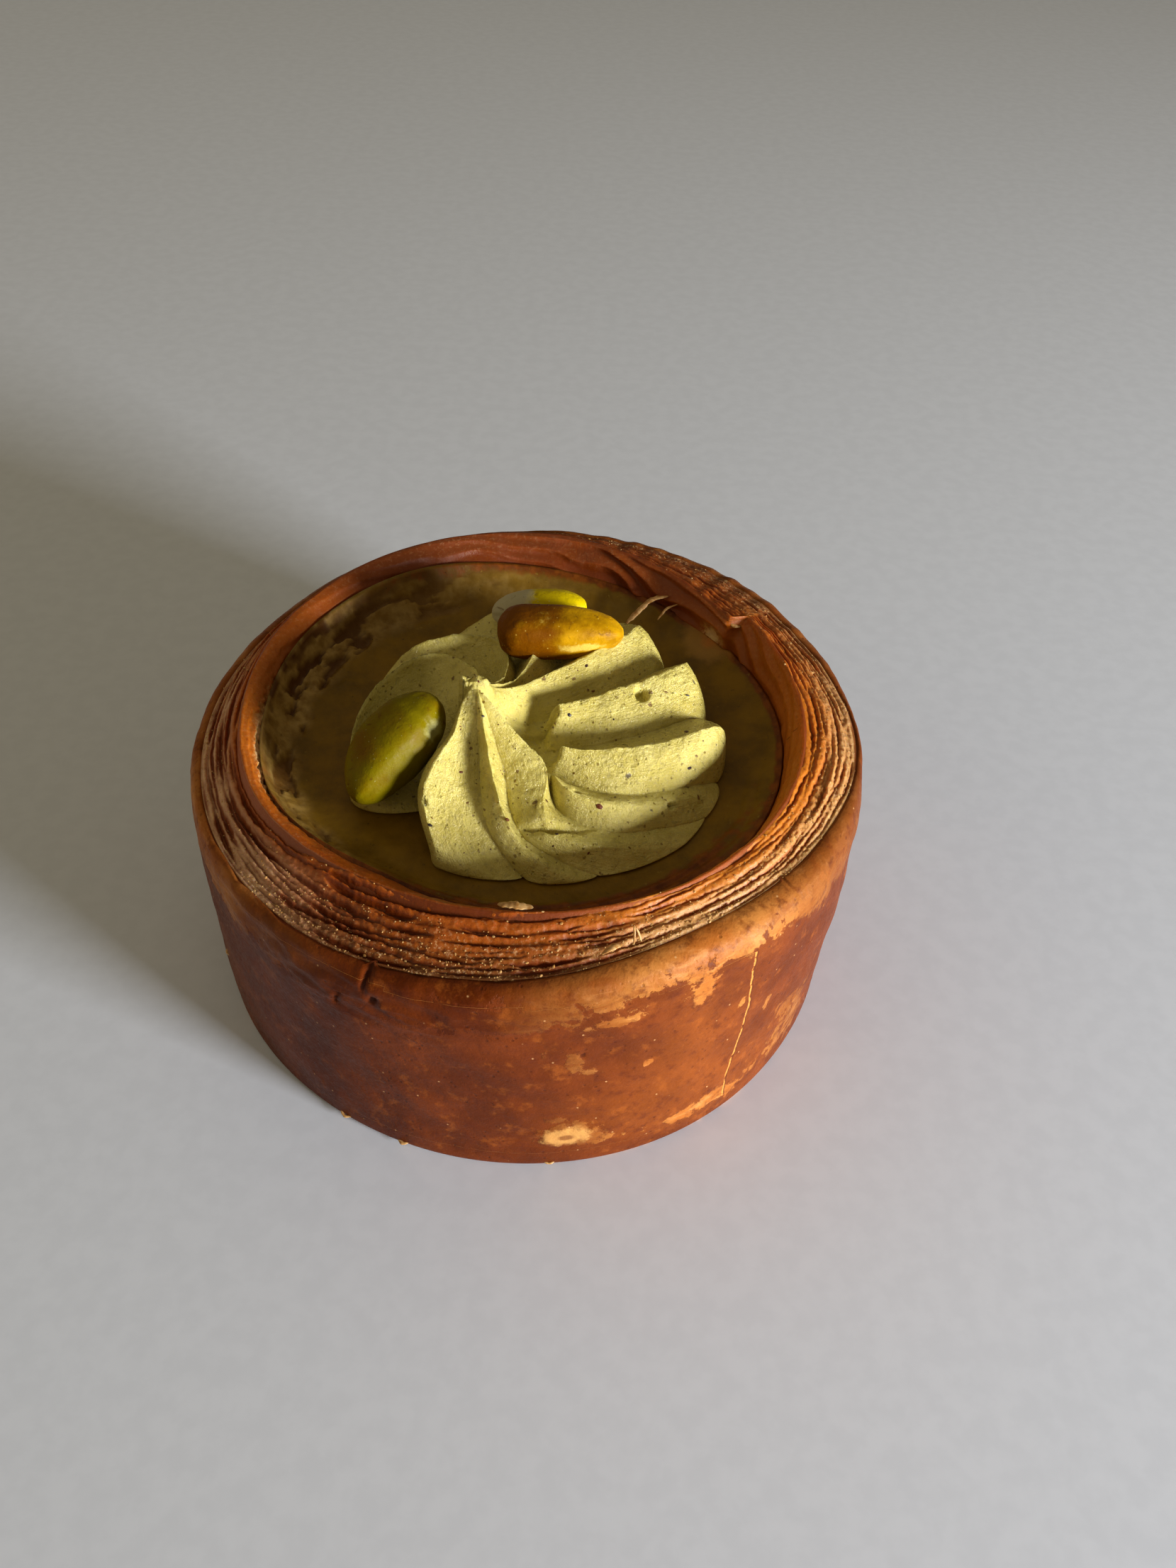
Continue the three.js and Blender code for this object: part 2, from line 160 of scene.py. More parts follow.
# Shreds of pastry: half width, half thickness, then points as angle, radius, height
SHREDS = [
    (0.55, 0.12, ((267.3, 31.5, 35.9), (270.8, 31.7, 36.1), (274.4, 31.8, 35.9))),
    (0.14, 0.10, ((290.7, 37.4, 34.6), (291.0, 36.9, 35.6), (291.3, 36.2, 36.4))),
    (0.16, 0.10, ((292.1, 37.3, 34.7), (291.8, 36.8, 35.5), (291.5, 36.4, 36.2))),
    (0.40, 0.16, ((285.2, 37.5, 34.2), (287.0, 37.3, 34.8), (288.9, 37.0, 34.6))),
    (0.45, 0.22, ((57.0, 32.4, 34.6), (60.5, 30.8, 34.0), (63.0, 28.4, 32.4), (64.5, 26.8, 31.2))),
    (0.20, 0.14, ((54.0, 32.4, 34.0), (56.0, 30.9, 33.4), (57.0, 29.6, 32.0))),
    (0.35, 0.25, ((36.4, 33.8, 35.2), (37.4, 33.0, 35.4), (39.0, 32.6, 35.9))),
    (0.20, 0.12, ((240.0, 41.8, 0.9), (241.2, 42.15, 0.7), (242.4, 41.8, 0.7))),
    (0.22, 0.12, ((251.4, 41.8, 0.7), (252.4, 42.15, 0.6), (253.6, 41.8, 0.7))),
    (0.18, 0.12, ((276.0, 41.9, 0.7), (277.0, 42.2, 0.6), (278.2, 41.9, 0.7))),
    (0.25, 0.14, ((206.0, 41.7, 9.2), (206.8, 42.15, 8.8), (207.6, 41.7, 8.2))),
]
SHRED_STEPS = 24
SHRED_CORNERS = 8
# Crumbs on the rim: how many, share of them anywhere round it, spread from the skin towards the
# crest, least and greatest size, chance of a large one and how much larger it is
CRUMBS = 1500
CRUMB_SEED = 19
CRUMBS_ANYWHERE = 0.25
CRUMB_SPREAD = 0.42
CRUMB_SIZES = (0.05, 0.11)
LARGE_CRUMB_CHANCE, LARGE_CRUMB = 0.08, 1.8

# Custard
CUSTARD_LEVEL = 29.9
CUSTARD_FLAT_RADIUS = 25.0
TOUCH_GAP = 0.3
EDGE_GAP = 0.1
CUSTARD_STEPS = 720
CUSTARD_ROWS = 84

# Cream rosette. Each petal has its reach, then at stations on the way out the angles and heights
# of its ridge and the heights of the valley after it, where the ridge's inner end is torn, and the
# share of the width before it that is its steep face. Angles count on past a full turn, and
# heights are above the custard
ROSETTE_CENTRE = (0.5, -0.3)
ROSETTE_PEAK = (-6.0, -5.0, 44.4)
ROSETTE_BASE = CUSTARD_LEVEL + TOUCH_GAP
PETAL_STATIONS = (0.0, 0.2, 0.4, 0.6, 0.8, 0.9, 1.0)
Petal = namedtuple("Petal", "reach angles rises valleys torn face")
PETALS = [
    Petal(24.2, (302, 309, 316, 332.5, 347.5, 353.5, 359), (10, 8.4, 7.9, 7.5, 7.2, 7.0, 6.7),
          (4.0, 3.6, 4.5, 5.0, 4.6, 4.1, 3.0), 0.38, 0.65),
    Petal(22.7, (358, 362, 371.5, 377, 382.5, 385.5, 389), (9, 8.8, 8.5, 8.3, 8.0, 7.8, 7.4),
          (4.6, 4.2, 5.4, 5.5, 5.0, 4.5, 3.4), 0.27, 0.6),
    Petal(22.4, (420, 418, 411.5, 409, 409, 411, 414), (8.5, 8.5, 8.9, 8.8, 8.5, 8.2, 7.6),
          (5.6, 5.4, 5.4, 5.2, 4.6, 4.0, 2.8), 0.0, 0.62),
    Petal(22.4, (430, 436, 441, 447, 458, 464, 468), (10, 8.4, 8.5, 8.5, 8.1, 7.7, 7.0),
          (7.0, 6.6, 5.4, 4.4, 3.6, 3.0, 2.0), 0.0, 0.4),
    Petal(22.0, (445, 452, 460, 470, 494, 505, 516), (10, 8.6, 7.9, 7.5, 7.2, 6.9, 6.3),
          (5.2, 4.8, 4.2, 3.6, 3.0, 2.4, 1.6), 0.0, 0.3),
    Petal(24.3, (478, 486, 495.5, 507, 536.5, 552, 568), (12, 10.2, 8.9, 8.4, 8.0, 7.5, 6.5),
          (10, 7.5, 4.2, 2.0, 0.6, 0.2, 0.0), 0.0, 0.3),
    Petal(23.6, (566, 576, 588, 590, 593, 598, 606), (14, 12.0, 10.4, 9.3, 8.2, 7.3, 6.0),
          (13.6, 11.5, 8.4, 5.9, 4.0, 2.6, 0.0), 0.0, 0.28),
    Petal(23.4, (606, 611, 614, 619, 626, 633, 641), (14, 11.8, 9.9, 7.8, 5.6, 4.2, 2.6),
          (12.5, 8.8, 6.4, 4.6, 3.2, 2.0, 0.3), 0.0, 0.3),
    Petal(24.6, (638, 654, 655, 642, 643, 662, 680), (13, 9.0, 7.2, 6.0, 5.2, 3.2, 1.0),
          (8, 4.8, 4.0, 3.4, 3.2, 2.2, 0.6), 0.0, 0.72),
    Petal(24.4, (650, 662, 656, 654.5, 674, 689, 701), (11, 8.0, 7.2, 6.5, 5.2, 3.2, 1.0),
          (6, 4.4, 4.2, 4.2, 3.5, 2.4, 0.8), 0.48, 0.42),
]
# How steeply each petal's outer end falls
PETAL_ENDS = [26, 26, 26, 18, 14, 14, 8, 7, 4, 4]
# How hollow each petal's slope is, and how the foot draws in after it: curve, share kept
SLOPE_CURVES = [1.1, 1.05, 1.05, 1.1, 1.8, 2.6, 1.75, 1.4, 1.2, 1.1]
FOOT_CURVES = [0.5, 0.5, 0.5, 0.5, 0.5, 1.6, 0.5, 0.5, 0.5, 0.5]
FOOT_HOLLOWS = [0.93, 0.93, 0.93, 0.93, 0.88, 0.55, 0.94, 0.97, 0.985, 0.96]
PETAL_COLUMNS = 56
SLOPE_SHARE = 0.5
FACE_CRISPNESS = 0.62
ROSETTE_ROWS = 120
RIDGE_END_ROUNDNESS = 0.45
TORN_LENGTH = 0.04
PEAK_SPREAD = 0.15
PEAK_STEEP_SPREAD = 0.08
PEAK_BLUNTNESS = 1.6
CROWN_DROP = 1.2
CROWN_HALF_WIDTH = 2.2
CROWN_HALF_DEPTH = 1.0
CROWN_SIDE = -0.4
CROWN_BACK = 1.0
# Notches torn across ridges: petal, place on the way out, half length, depth
RIDGE_NOTCHES = [(7, 0.86, 0.03, 0.8), (8, 0.75, 0.02, 2.6)]
# Pores in the cream, near these places: place, half width, depth
PORES = [((13.5, 2.0, 37.5), 1.15, 1.5), ((-9.7, -18.9, 38.6), 0.6, 1.2),
         ((-0.7, -5.7, 39.0), 0.6, 0.7), ((18.9, -13.3, 34.6), 0.7, 0.7),
         ((-2.0, -13.0, 38.4), 0.5, 0.5), ((6.4, -14.0, 36.0), 0.45, 0.5)]
# Large specks, near these places: place, size, tone
LARGE_SPECKS = [
    ((9.1, -16.4, 35.8), 0.34, 0.72), ((4.7, -2.6, 37.8), 0.26, 1.0),
    ((-9.4, -21.4, 37.6), 0.22, 1.0), ((6.7, 6.2, 38.6), 0.2, 0.95),
    ((19.4, 4.1, 36.2), 0.22, 1.0), ((19.7, -7.9, 34.8), 0.26, 0.95),
    ((-5.1, -8.5, 42.0), 0.18, 1.0), ((19.2, -3.2, 36.6), 0.3, 0.85),
    ((4.3, -18.8, 34.8), 0.2, 0.95), ((-0.4, -19.3, 38.0), 0.3, 0.6),
]
# Small specks: how many, least and greatest size, chance of a larger one and how much larger it
# is, and how far above the custard they begin
SPECKS = 320
SPECK_SEED = 7
SPECK_SIZES = (0.06, 0.15)
LARGER_SPECK_CHANCE, LARGER_SPECK = 0.1, 1.7
SPECKS_ABOVE = 1.5

# Pistachio kernels: tail, tip, width, thickness, angle of the seam, roundness of the tail and
# of the tip, squareness of the section, place of a crease across it, sideways bend of the tail,
# seed of the dents. A crease beyond the tail is none
Kernel = namedtuple("Kernel", "tail tip width thick seam tail_round tip_round square crease bend seed")
KERNELS = {
    "pistachio_left": Kernel((-20.6, -14.4, 33.9), (-11.0, -3.6, 40.3), 8.6, 7.4, 148.0,
                             1.5, 2.6, 2.6, 0.5, -1.3, 35),
    "pistachio_front": Kernel((-5.0, 10.2, 40.1), (11.2, 11.4, 39.7), 6.6, 6.0, 207.0,
                              5.5, 2.2, 3.0, -2.0, 0.0, 36),
    "pistachio_back": Kernel((-6.3, 16.9, 37.8), (6.3, 17.9, 38.9), 5.8, 5.2, 160.0,
                             2.2, 2.6, 2.2, -2.0, 0.0, 35),
}
KERNEL_SEGMENTS = 72
KERNEL_RINGS = 56
KERNEL_TAPER = 0.08
SEAM_DEPTH = 0.35
SEAM_SHARPNESS = 34.0
CREASE_DEPTH = 0.6
CREASE_SIDE = (150.0, 55.0)
CREASE_HALF_LENGTH = 0.06
CREASE_SLANT = 0.06

# Unevenness of the surfaces: depth, size of its bumps, seed
SKIN_WAVES, SKIN_GRIT = (0.14, 7.0, 1), (0.03, 1.6, 2)
LIP_WAVES, LIP_CRUMBS, LIP_LUMPS = (0.10, 3.0, 7), (0.5, 0.8, 8), (0.3, 1.1, 6)
CUSTARD_WAVES, CRUST_LUMPS = (0.10, 5.0, 9), (0.4, 1.3, 10)
CREAM_WAVES = (0.12, 2.4, 13)
KERNEL_GRIT = (0.03, 0.9, 22)
KERNEL_DENT, KERNEL_DENT_SIZE = 0.16, 3.0
# Waves that make pastry uneven: how many round the tart, shift a seed, start, share
WAVES = [(5, 2.1, 0.0, 0.45), (11, 1.3, 0.7, 0.3), (23, 4.7, 1.9, 0.25)]

# Camera and light, in metres and degrees, with the lens and its sensor in millimetres
CAMERA_PLACE = (0.00755, -0.11844, 0.14011)
CAMERA_TILT = 45.46
CAMERA_ROLL = 2.86
CAMERA_LENS = 29.115
SENSOR_WIDTH = 36.0
NEAREST_VIEW = 0.005
FLOOR_HALF_SIZE = 3.0
LIT_PLACE = (0.0, 0.0, 0.03)
# Soft lights: angle round the tart and above it, distance, size, power, colour
LIGHTS = {
    "window_light": (328.0, 9.8, 0.8, 0.2, 12.8, (1.0, 0.98, 0.95)),
    "room_light": (120.0, 70.0, 1.2, 1.0, 0.8, (1.0, 0.88, 0.6)),
    "side_light": (195.0, 25.0, 1.2, 1.0, 1.4, (1.0, 0.84, 0.54)),
}
ROOM_COLOUR = (1.0, 0.82, 0.52, 1.0)
ROOM_STRENGTH = 0.155


def mix(start, end, part):
    return start + (end - start) * part


def ease(start, end, value):
    part = min(1.0, max(0.0, (value - start) / (end - start)))
    return part * part * (3.0 - 2.0 * part)


def hill(offset, width):
    return math.exp(-(offset / width) ** 2)


def turn_between(angle, other):
    return (angle - other + 180.0) % FULL_TURN - 180.0


def facing(angle, place):
    """How near an angle is to a place round the tart, 1 in its middle."""
    middle, spread = place
    return hill(turn_between(angle, middle), spread)


def on_wall(angle, height, place):
    """How near a point of the wall is to a place with an angle, height, half width, half height."""
    middle, level, half_width, half_height = place
    return hill(turn_between(angle, middle), half_width) * hill(height - level, half_height)


def around(values, angle):
    """Smooth value at an angle from a list of values spaced evenly round the tart."""
    count = len(values)
    place = (angle % FULL_TURN) / FULL_TURN * count
    index = int(place)
    part = place - index
    before, here, after, beyond = (values[(index + step) % count] for step in (-1, 0, 1, 2))
    bend = beyond - before + 3 * (here - after)
    start = 2 * before - 5 * here + 4 * after - beyond
    return here + 0.5 * part * (after - before + part * (start + part * bend))


def wave(angle, seed):
    """Uneven waviness between -1 and 1 that closes on itself round the tart."""
    turn = math.radians(angle)
    return sum(share * math.sin(count * turn + shift * seed + start)
               for count, shift, start, share in WAVES)


def turned(radius, angle, height):
    turn = math.radians(angle)
    return Vector((radius * math.cos(turn), radius * math.sin(turn), height))


def grain(place, size, seed):
    """Fine unevenness between about -1 and 1 at a place in millimetres."""
    return noise.noise(Vector(place) / size + Vector((seed * 7.3, seed * 3.1, seed * 5.7)))


def rough(place, size, seed, octaves=4):
    """Unevenness of several sizes together."""
    spot = Vector(place) / size + Vector((seed * 7.3, seed * 3.1, seed * 5.7))
    return noise.fractal(spot, 0.9, 2.1, octaves)


def bumps(place, kind):
    depth, size, seed = kind
    return depth * rough(place, size, seed)


def flap_amount(angle):
    return ease(FLAP_START, FLAP_FULL, angle) * (1.0 - ease(FLAP_FULL, FLAP_END, angle))


def lip_radius(angle):
    return around(LIP_RADIUS, angle) - FLAP_LIP_STEP * flap_amount(angle)


def crest_radius(angle):
    return around(CREST_RADIUS, angle) - FLAP_CREST_STEP * flap_amount(angle)


def torn_outline(angle):
    """Ups and downs of the rim where it is torn, at the back right."""
    spot = turned(20.0, angle, 0.0)
    ragged = 0.75 * grain(spot, 3.2, 50) + 0.45 * grain(spot, 1.3, 51)
    return facing(angle, TORN_RIM) * ragged


def edge_height(angle):
    return around(EDGE_HEIGHT, angle) + torn_outline(angle)


def tear_depth(angle, height):
    """How far the skin is pushed in by the slots torn in it."""
    deep = 0.0
    for place, half_width, foot, depth in SKIN_TEARS:
        off = abs(turn_between(angle, place + 0.25 * math.sin(2.0 * height)))
        half = half_width * mix(0.4, 1.2, ease(foot, foot + 2.5, height))
        inside = 1.0 - ease(half - TEAR_SIDE, half + TEAR_SIDE, off)
        deep = max(deep, depth * inside * ease(foot - 0.3, foot + 0.5, height))
    return deep


def wall_radius(angle, height):
    oval = WALL_OVAL * math.sin(2 * math.radians(angle) + 1)
    uneven = WALL_UNEVEN * wave(angle + 2 * height, 3) + oval
    upright = mix(around(FOOT_RADIUS, angle), WALL_RADIUS, ease(0, STRAIGHT_HEIGHT, height))
    return upright + uneven * ease(0, SMOOTH_FOOT_HEIGHT, height)


def along(stations, values, place):
    """Smooth value at a place from values given at rising stations."""
    last = len(stations) - 2
    index = min(last, max(0, sum(1 for station in stations if station <= place) - 1))
    before, after = max(0, index - 1), min(last + 1, index + 2)
    gap = stations[index + 1] - stations[index]
    part = (place - stations[index]) / gap
    rise = (values[index + 1] - values[before]) / (stations[index + 1] - stations[before]) * gap
    fall = (values[after] - values[index]) / (stations[after] - stations[index]) * gap
    here, there = values[index], values[index + 1]
    bend = 2 * here - 2 * there + rise + fall
    start = 3 * there - 3 * here - 2 * rise - fall
    return here + part * (rise + part * (start + part * bend))


def rolled(bm, rows, steps):
    """Grid whose columns run round the tart; gives each point with its angle and its row."""
    made = bmesh.ops.create_grid(bm, x_segments=steps, y_segments=rows - 1, size=1.0)
    return [(vert, (vert.co.x + 1) / 2 * FULL_TURN, round((vert.co.y + 1) / 2 * (rows - 1)))
            for vert in made["verts"]]


def float_layers(bm, *names):
    """Values that each point of a piece carries for its material, by name."""
    return {name: bm.verts.layers.float.new(name) for name in names}


def give(vert, layers, **values):
    for name, value in values.items():
        vert[layers[name]] = value


def put_crumb(bm, place, size, stretch, spin, outward=None):
    """Small lump at a place, stretched, spun and turned to face outward."""
    made = bmesh.ops.create_icosphere(bm, subdivisions=1, radius=size)["verts"]
    bmesh.ops.scale(bm, vec=stretch, verts=made)
    bmesh.ops.rotate(bm, matrix=Matrix.Rotation(spin, 3, "Z"), verts=made)
    if outward:
        bmesh.ops.rotate(bm, matrix=outward.to_track_quat("Z", "Y").to_matrix(), verts=made)
    bmesh.ops.translate(bm, vec=place, verts=made)
    return made


def close_up(bm):
    """Weld seams and poles, and turn every face outwards."""
    bmesh.ops.remove_doubles(bm, verts=bm.verts, dist=WELD)
    bmesh.ops.recalc_face_normals(bm, faces=bm.faces)


def finish_piece(name, bm, material, node=None, smooth=True):
    """Close a piece, scale it to metres and put it in the scene on the tart's one body."""
    close_up(bm)
    bmesh.ops.scale(bm, vec=(MILLIMETRE,) * 3, verts=bm.verts)
    for face in bm.faces:
        face.smooth = smooth
    mesh = bpy.data.meshes.new(name)
    bm.to_mesh(mesh)
    bm.free()
    piece = bpy.data.objects.new(name, mesh)
    bpy.context.scene.collection.objects.link(piece)
    mesh.materials.append(material)
    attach(piece, "root")
    if node:
        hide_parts(node)
    return piece


def tint(red, green, blue):
    """Colour from screen values of 0 to 255."""
    def linear(value):
        share = value / 255.0
        return share / 12.92 if share <= 0.04045 else ((share + 0.055) / 1.055) ** 2.4
    return (linear(red), linear(green), linear(blue), 1.0)


# Materials
class Nodes:
    """A node tree under construction: places nodes and joins their sockets."""

    def __init__(self, tree):
        self.tree = tree

    def put(self, kind, setup=None, **sockets):
        node = self.tree.nodes.new("ShaderNode" + kind)
        for key, value in (setup or {}).items():
            setattr(node, key, value)
        for key, value in sockets.items():
            index = int(key[1:]) if key[0] == "n" and key[1:].isdigit() else key.replace("_", " ")
            self.join(value, node.inputs[index])
        return node

    def join(self, value, socket):
        if isinstance(value, bpy.types.NodeSocket):
            self.tree.links.new(value, socket)
        else:
            socket.default_value = value

    def band(self, value, low, high, at_low=0.0, at_high=1.0):
        """Value moved from one range to another and kept inside it."""
        node = self.put("MapRange", {"interpolation_type": "SMOOTHSTEP"}, Value=value,
                        From_Min=low, From_Max=high, To_Min=at_low, To_Max=at_high)
        return node.outputs["Result"]

    def reckon(self, kind, one, two=0.0):
        return self.put("Math", {"operation": kind}, n0=one, n1=two).outputs[0]

    def sum(self, one, two):
        return self.reckon("ADD", one, two)

    def less(self, one, two):
        return self.reckon("SUBTRACT", one, two)

    def times(self, one, two):
        return self.reckon("MULTIPLY", one, two)

    def blend(self, part, one, two, kind="MIX"):
        node = self.put("Mix", {"data_type": "RGBA", "blend_type": kind}, n0=part, n6=one, n7=two)
        return node.outputs[2]


def shared_pattern(name, inputs, outputs):
    """Node group with named inputs and outputs, its nodes, and the sockets at its two ends."""
    tree = bpy.data.node_groups.new(name, "ShaderNodeTree")
    for label, kind in inputs.items():
        tree.interface.new_socket(label, in_out="INPUT", socket_type="NodeSocket" + kind)
    for label, kind in outputs.items():
        tree.interface.new_socket(label, in_out="OUTPUT", socket_type="NodeSocket" + kind)
    given = tree.nodes.new("NodeGroupInput").outputs
    result = tree.nodes.new("NodeGroupOutput").inputs
    return Nodes(tree), given, result


def cloud_pattern():
    """Cloudy pattern whose spots are about so many millimetres across."""
    nodes, given, result = shared_pattern(
        "cloud_pattern", {"Place": "Vector", "Size": "Float", "Detail": "Float",
                          "Roughness": "Float", "Distortion": "Float"}, {"Cloud": "Float"})
    scale = nodes.reckon("DIVIDE", 1.0 / MILLIMETRE, given["Size"])
    cloud = nodes.put("TexNoise", Vector=given["Place"], Scale=scale, Detail=given["Detail"],
                      Roughness=given["Roughness"], Distortion=given["Distortion"])
    nodes.join(cloud.outputs["Fac"], result["Cloud"])
    return nodes.tree


def spot_pattern():
    """Scattered spots: distance from the nearest one's middle, and a chance drawn for each."""
    nodes, given, result = shared_pattern(
        "spot_pattern", {"Place": "Vector", "Size": "Float"}, {"Distance": "Float", "Chance": "Float"})
    scale = nodes.reckon("DIVIDE", 1.0 / MILLIMETRE, given["Size"])
    cell = nodes.put("TexVoronoi", Vector=given["Place"], Scale=scale)
    nodes.join(cell.outputs["Distance"], result["Distance"])
    nodes.join(nodes.put("SeparateColor", Color=cell.outputs["Color"]).outputs[0], result["Chance"])
    return nodes.tree


def two_tones():
    """Two colours mixed by a cloudy pattern."""
    nodes, given, result = shared_pattern(
        "two_tones", {"Cloud": "Float", "Dark": "Color", "Light": "Color"}, {"Colour": "Color"})
    part = nodes.band(given["Cloud"], 0.33, 0.67)
    nodes.join(nodes.blend(part, given["Dark"], given["Light"]), result["Colour"])
    return nodes.tree


CLOUDS, SPOTS, TONES = cloud_pattern(), spot_pattern(), two_tones()


class Finish(Nodes):
    """A material under construction, painted coat by coat."""

    def __init__(self, name, **settings):
        self.material = bpy.data.materials.new(name)
        self.material.use_nodes = True
        super().__init__(self.material.node_tree)
        self.shader = self.tree.nodes["Principled BSDF"]
        self.place = self.put("TexCoord").outputs["Object"]
        self.colour = None
        for socket, value in settings.items():
            self.shader.inputs[socket.replace("_", " ")].default_value = value

    def noise(self, size, detail=4.0, roughness=0.55, distortion=0.0, place=None):
        """Cloudy pattern on the piece, or on another place."""
        return self.put("Group", {"node_tree": CLOUDS}, Place=place or self.place, Size=size,
                        Detail=detail, Roughness=roughness, Distortion=distortion).outputs["Cloud"]

    def spots(self, size, place=None):
        return self.put("Group", {"node_tree": SPOTS}, Place=place or self.place, Size=size).outputs

    def tones(self, cloud, dark, light):
        return self.put("Group", {"node_tree": TONES}, Cloud=cloud, Dark=dark, Light=light).outputs[0]

    def ramp(self, value, *stops):
        """Colours that follow each other as a value rises, each with its position."""
        node = self.put("ValToRGB", Fac=value)
        marks = node.color_ramp.elements
        for mark, (position, colour) in zip(marks, (stops[0], stops[-1])):
            mark.position = position
            mark.color = colour
        for position, colour in stops[1:-1]:
            marks.new(position).color = colour
        return node.outputs["Color"]

    def uneven(self, cloud, amount):
        """Cloud about zero, of a given strength."""
        return self.times(self.less(cloud, 0.5), amount)

    def value_of(self, name):
        return self.put("Attribute", {"attribute_name": name}).outputs["Fac"]

    def paint(self, part, colour):
        """Lay a colour over what is painted so far, as far as a mask says."""
        self.colour = self.blend(part, self.colour, colour)

    def stain(self, value, low, high, most, colour):
        """Lay a colour, at most so strongly, as a value goes from low to high."""
        self.paint(self.band(value, low, high, 0.0, most), colour)

    def relief(self, height, strength, distance, below=None):
        sockets = {"Height": height, "Strength": strength, "Distance": distance * MILLIMETRE}
        if below is not None:
            sockets["Normal"] = below
        return self.put("Bump", **sockets).outputs["Normal"]

    def wear(self, cloud, smoothest, roughest, relief=None):
        """Join colour, roughness that follows a cloud, and relief to the shader."""
        sockets = self.shader.inputs
        self.join(self.colour, sockets["Base Color"])
        self.join(self.band(cloud, 0.3, 0.7, smoothest, roughest), sockets["Roughness"])
        if relief is not None:
            self.join(relief, sockets["Normal"])
        return self.material


def pastry_skin():
    """Baked outer skin: brown with golden places, pits, a crack, a blister and a satin shine, its
    tones painted lit or painted shaded round the tart.
    """
    finish = Finish("pastry_skin", Specular_IOR_Level=0.1)
    sunny = finish.value_of("sunny")
    ragged = finish.noise(1.1, 5.0, 0.7)
    bays = finish.uneven(finish.noise(3.4, 6.0, 0.6, 0.4), 1.5)
    shore = finish.sum(finish.value_of("golden"), bays)
    shore = finish.sum(shore, finish.uneven(ragged, 0.9))
    gold = finish.band(shore, -0.02, 0.08)
    cloud = finish.noise(8.0, 4.0)
    # Brown tones, a painted-shaded copy and a painted-lit copy, mixed by the painted light round the
    # tart
    brown = finish.blend(sunny, finish.tones(cloud, tint(90, 38, 11), tint(114, 51, 16)),
                         finish.tones(cloud, tint(98, 43, 11), tint(118, 55, 17)))
    # Warm tone, painted shaded and painted lit
    warm = finish.blend(sunny, tint(106, 46, 10), tint(152, 80, 27))
    soft = finish.sum(finish.band(shore, -0.6, 0.3, 0.0, 0.5), finish.value_of("warm"))
    brown = finish.blend(finish.times(soft, finish.band(cloud, 0.2, 0.8, 0.5, 1.0)), brown, warm)
    # Golden tones, deep where painted shaded and bright where painted lit
    golden = finish.blend(sunny, finish.tones(cloud, tint(76, 27, 2), tint(102, 43, 6)),
                          finish.tones(cloud, tint(188, 109, 42), tint(214, 142, 68)))
    level = finish.put("Mapping", Vector=finish.place, Scale=(1.0, 1.0, 3.2)).outputs[0]
    streaks = finish.noise(5.0, 5.0, 0.65, 0.6, level)
    golden = finish.blend(finish.band(streaks, 0.5, 0.64, 0.0, 0.6), golden, warm)
    # Pale streaks in the golden band, laid only as far as the skin is painted lit
    pale_streaks = finish.times(finish.band(streaks, 0.46, 0.34, 0.0, 0.5), sunny)
    golden = finish.blend(pale_streaks, golden, tint(226, 158, 92))
    finish.colour = finish.blend(gold, brown, golden)
    patch = finish.noise(2.4, 5.0, 0.65)
    finish.stain(patch, 0.52, 0.7, 0.45, tint(84, 34, 13))
    finish.stain(patch, 0.45, 0.3, 0.35, tint(170, 92, 32))
    mottle = finish.noise(1.2, 4.0, 0.65)
    finish.stain(mottle, 0.5, 0.72, 0.4, tint(92, 38, 16))
    pitted = finish.band(finish.noise(6.0, 2.0), 0.44, 0.58)
    pit = finish.times(finish.band(finish.spots(1.15)["Distance"], 0.24, 0.08), pitted)
    finish.paint(finish.times(pit, 0.4), tint(66, 26, 13))
    aside = finish.put("Mapping", Vector=finish.place, Location=(0.2, 0.5, 0.1)).outputs[0]
    finish.stain(finish.spots(2.3, aside)["Distance"], 0.07, 0.03, 0.6, tint(226, 176, 120))
    blister = finish.value_of("blister")
    bubble = finish.sum(blister, finish.uneven(finish.noise(1.6, 5.0, 0.7), 1.8))
    finish.stain(bubble, 1.2, 0.6, 0.8, tint(214, 158, 88))
    finish.stain(blister, 0.4, 0.2, 0.75, tint(122, 66, 28))
    crack = finish.sum(finish.value_of("crack"), finish.uneven(ragged, 0.5))
    off = finish.reckon("ABSOLUTE", crack)
    gaps = finish.band(mottle, 0.38, 0.46)
    finish.paint(finish.times(finish.band(off, 0.22, 0.10), gaps), tint(220, 146, 70))
    dark_side = finish.reckon("ABSOLUTE", finish.less(crack, 0.2))
    finish.stain(dark_side, 0.14, 0.06, 0.7, tint(84, 34, 14))
    # Painted shade: dark brown inside the slots torn in the skin and in its holes and dents
    finish.stain(finish.value_of("torn"), 0.2, 0.7, 1.0, tint(78, 32, 10))
    grit = finish.noise(0.5, 4.0, 0.65)
    relief = finish.relief(grit, 0.5, 0.14)
    relief = finish.relief(finish.less(gold, pit), 0.4, 0.12, relief)
    relief = finish.relief(patch, 0.3, 0.3, relief)
    relief = finish.relief(finish.band(off, 0.16, 0.05, 1.0, 0.0), 0.6, 0.2, relief)
    return finish.wear(grit, 0.36, 0.54, relief)


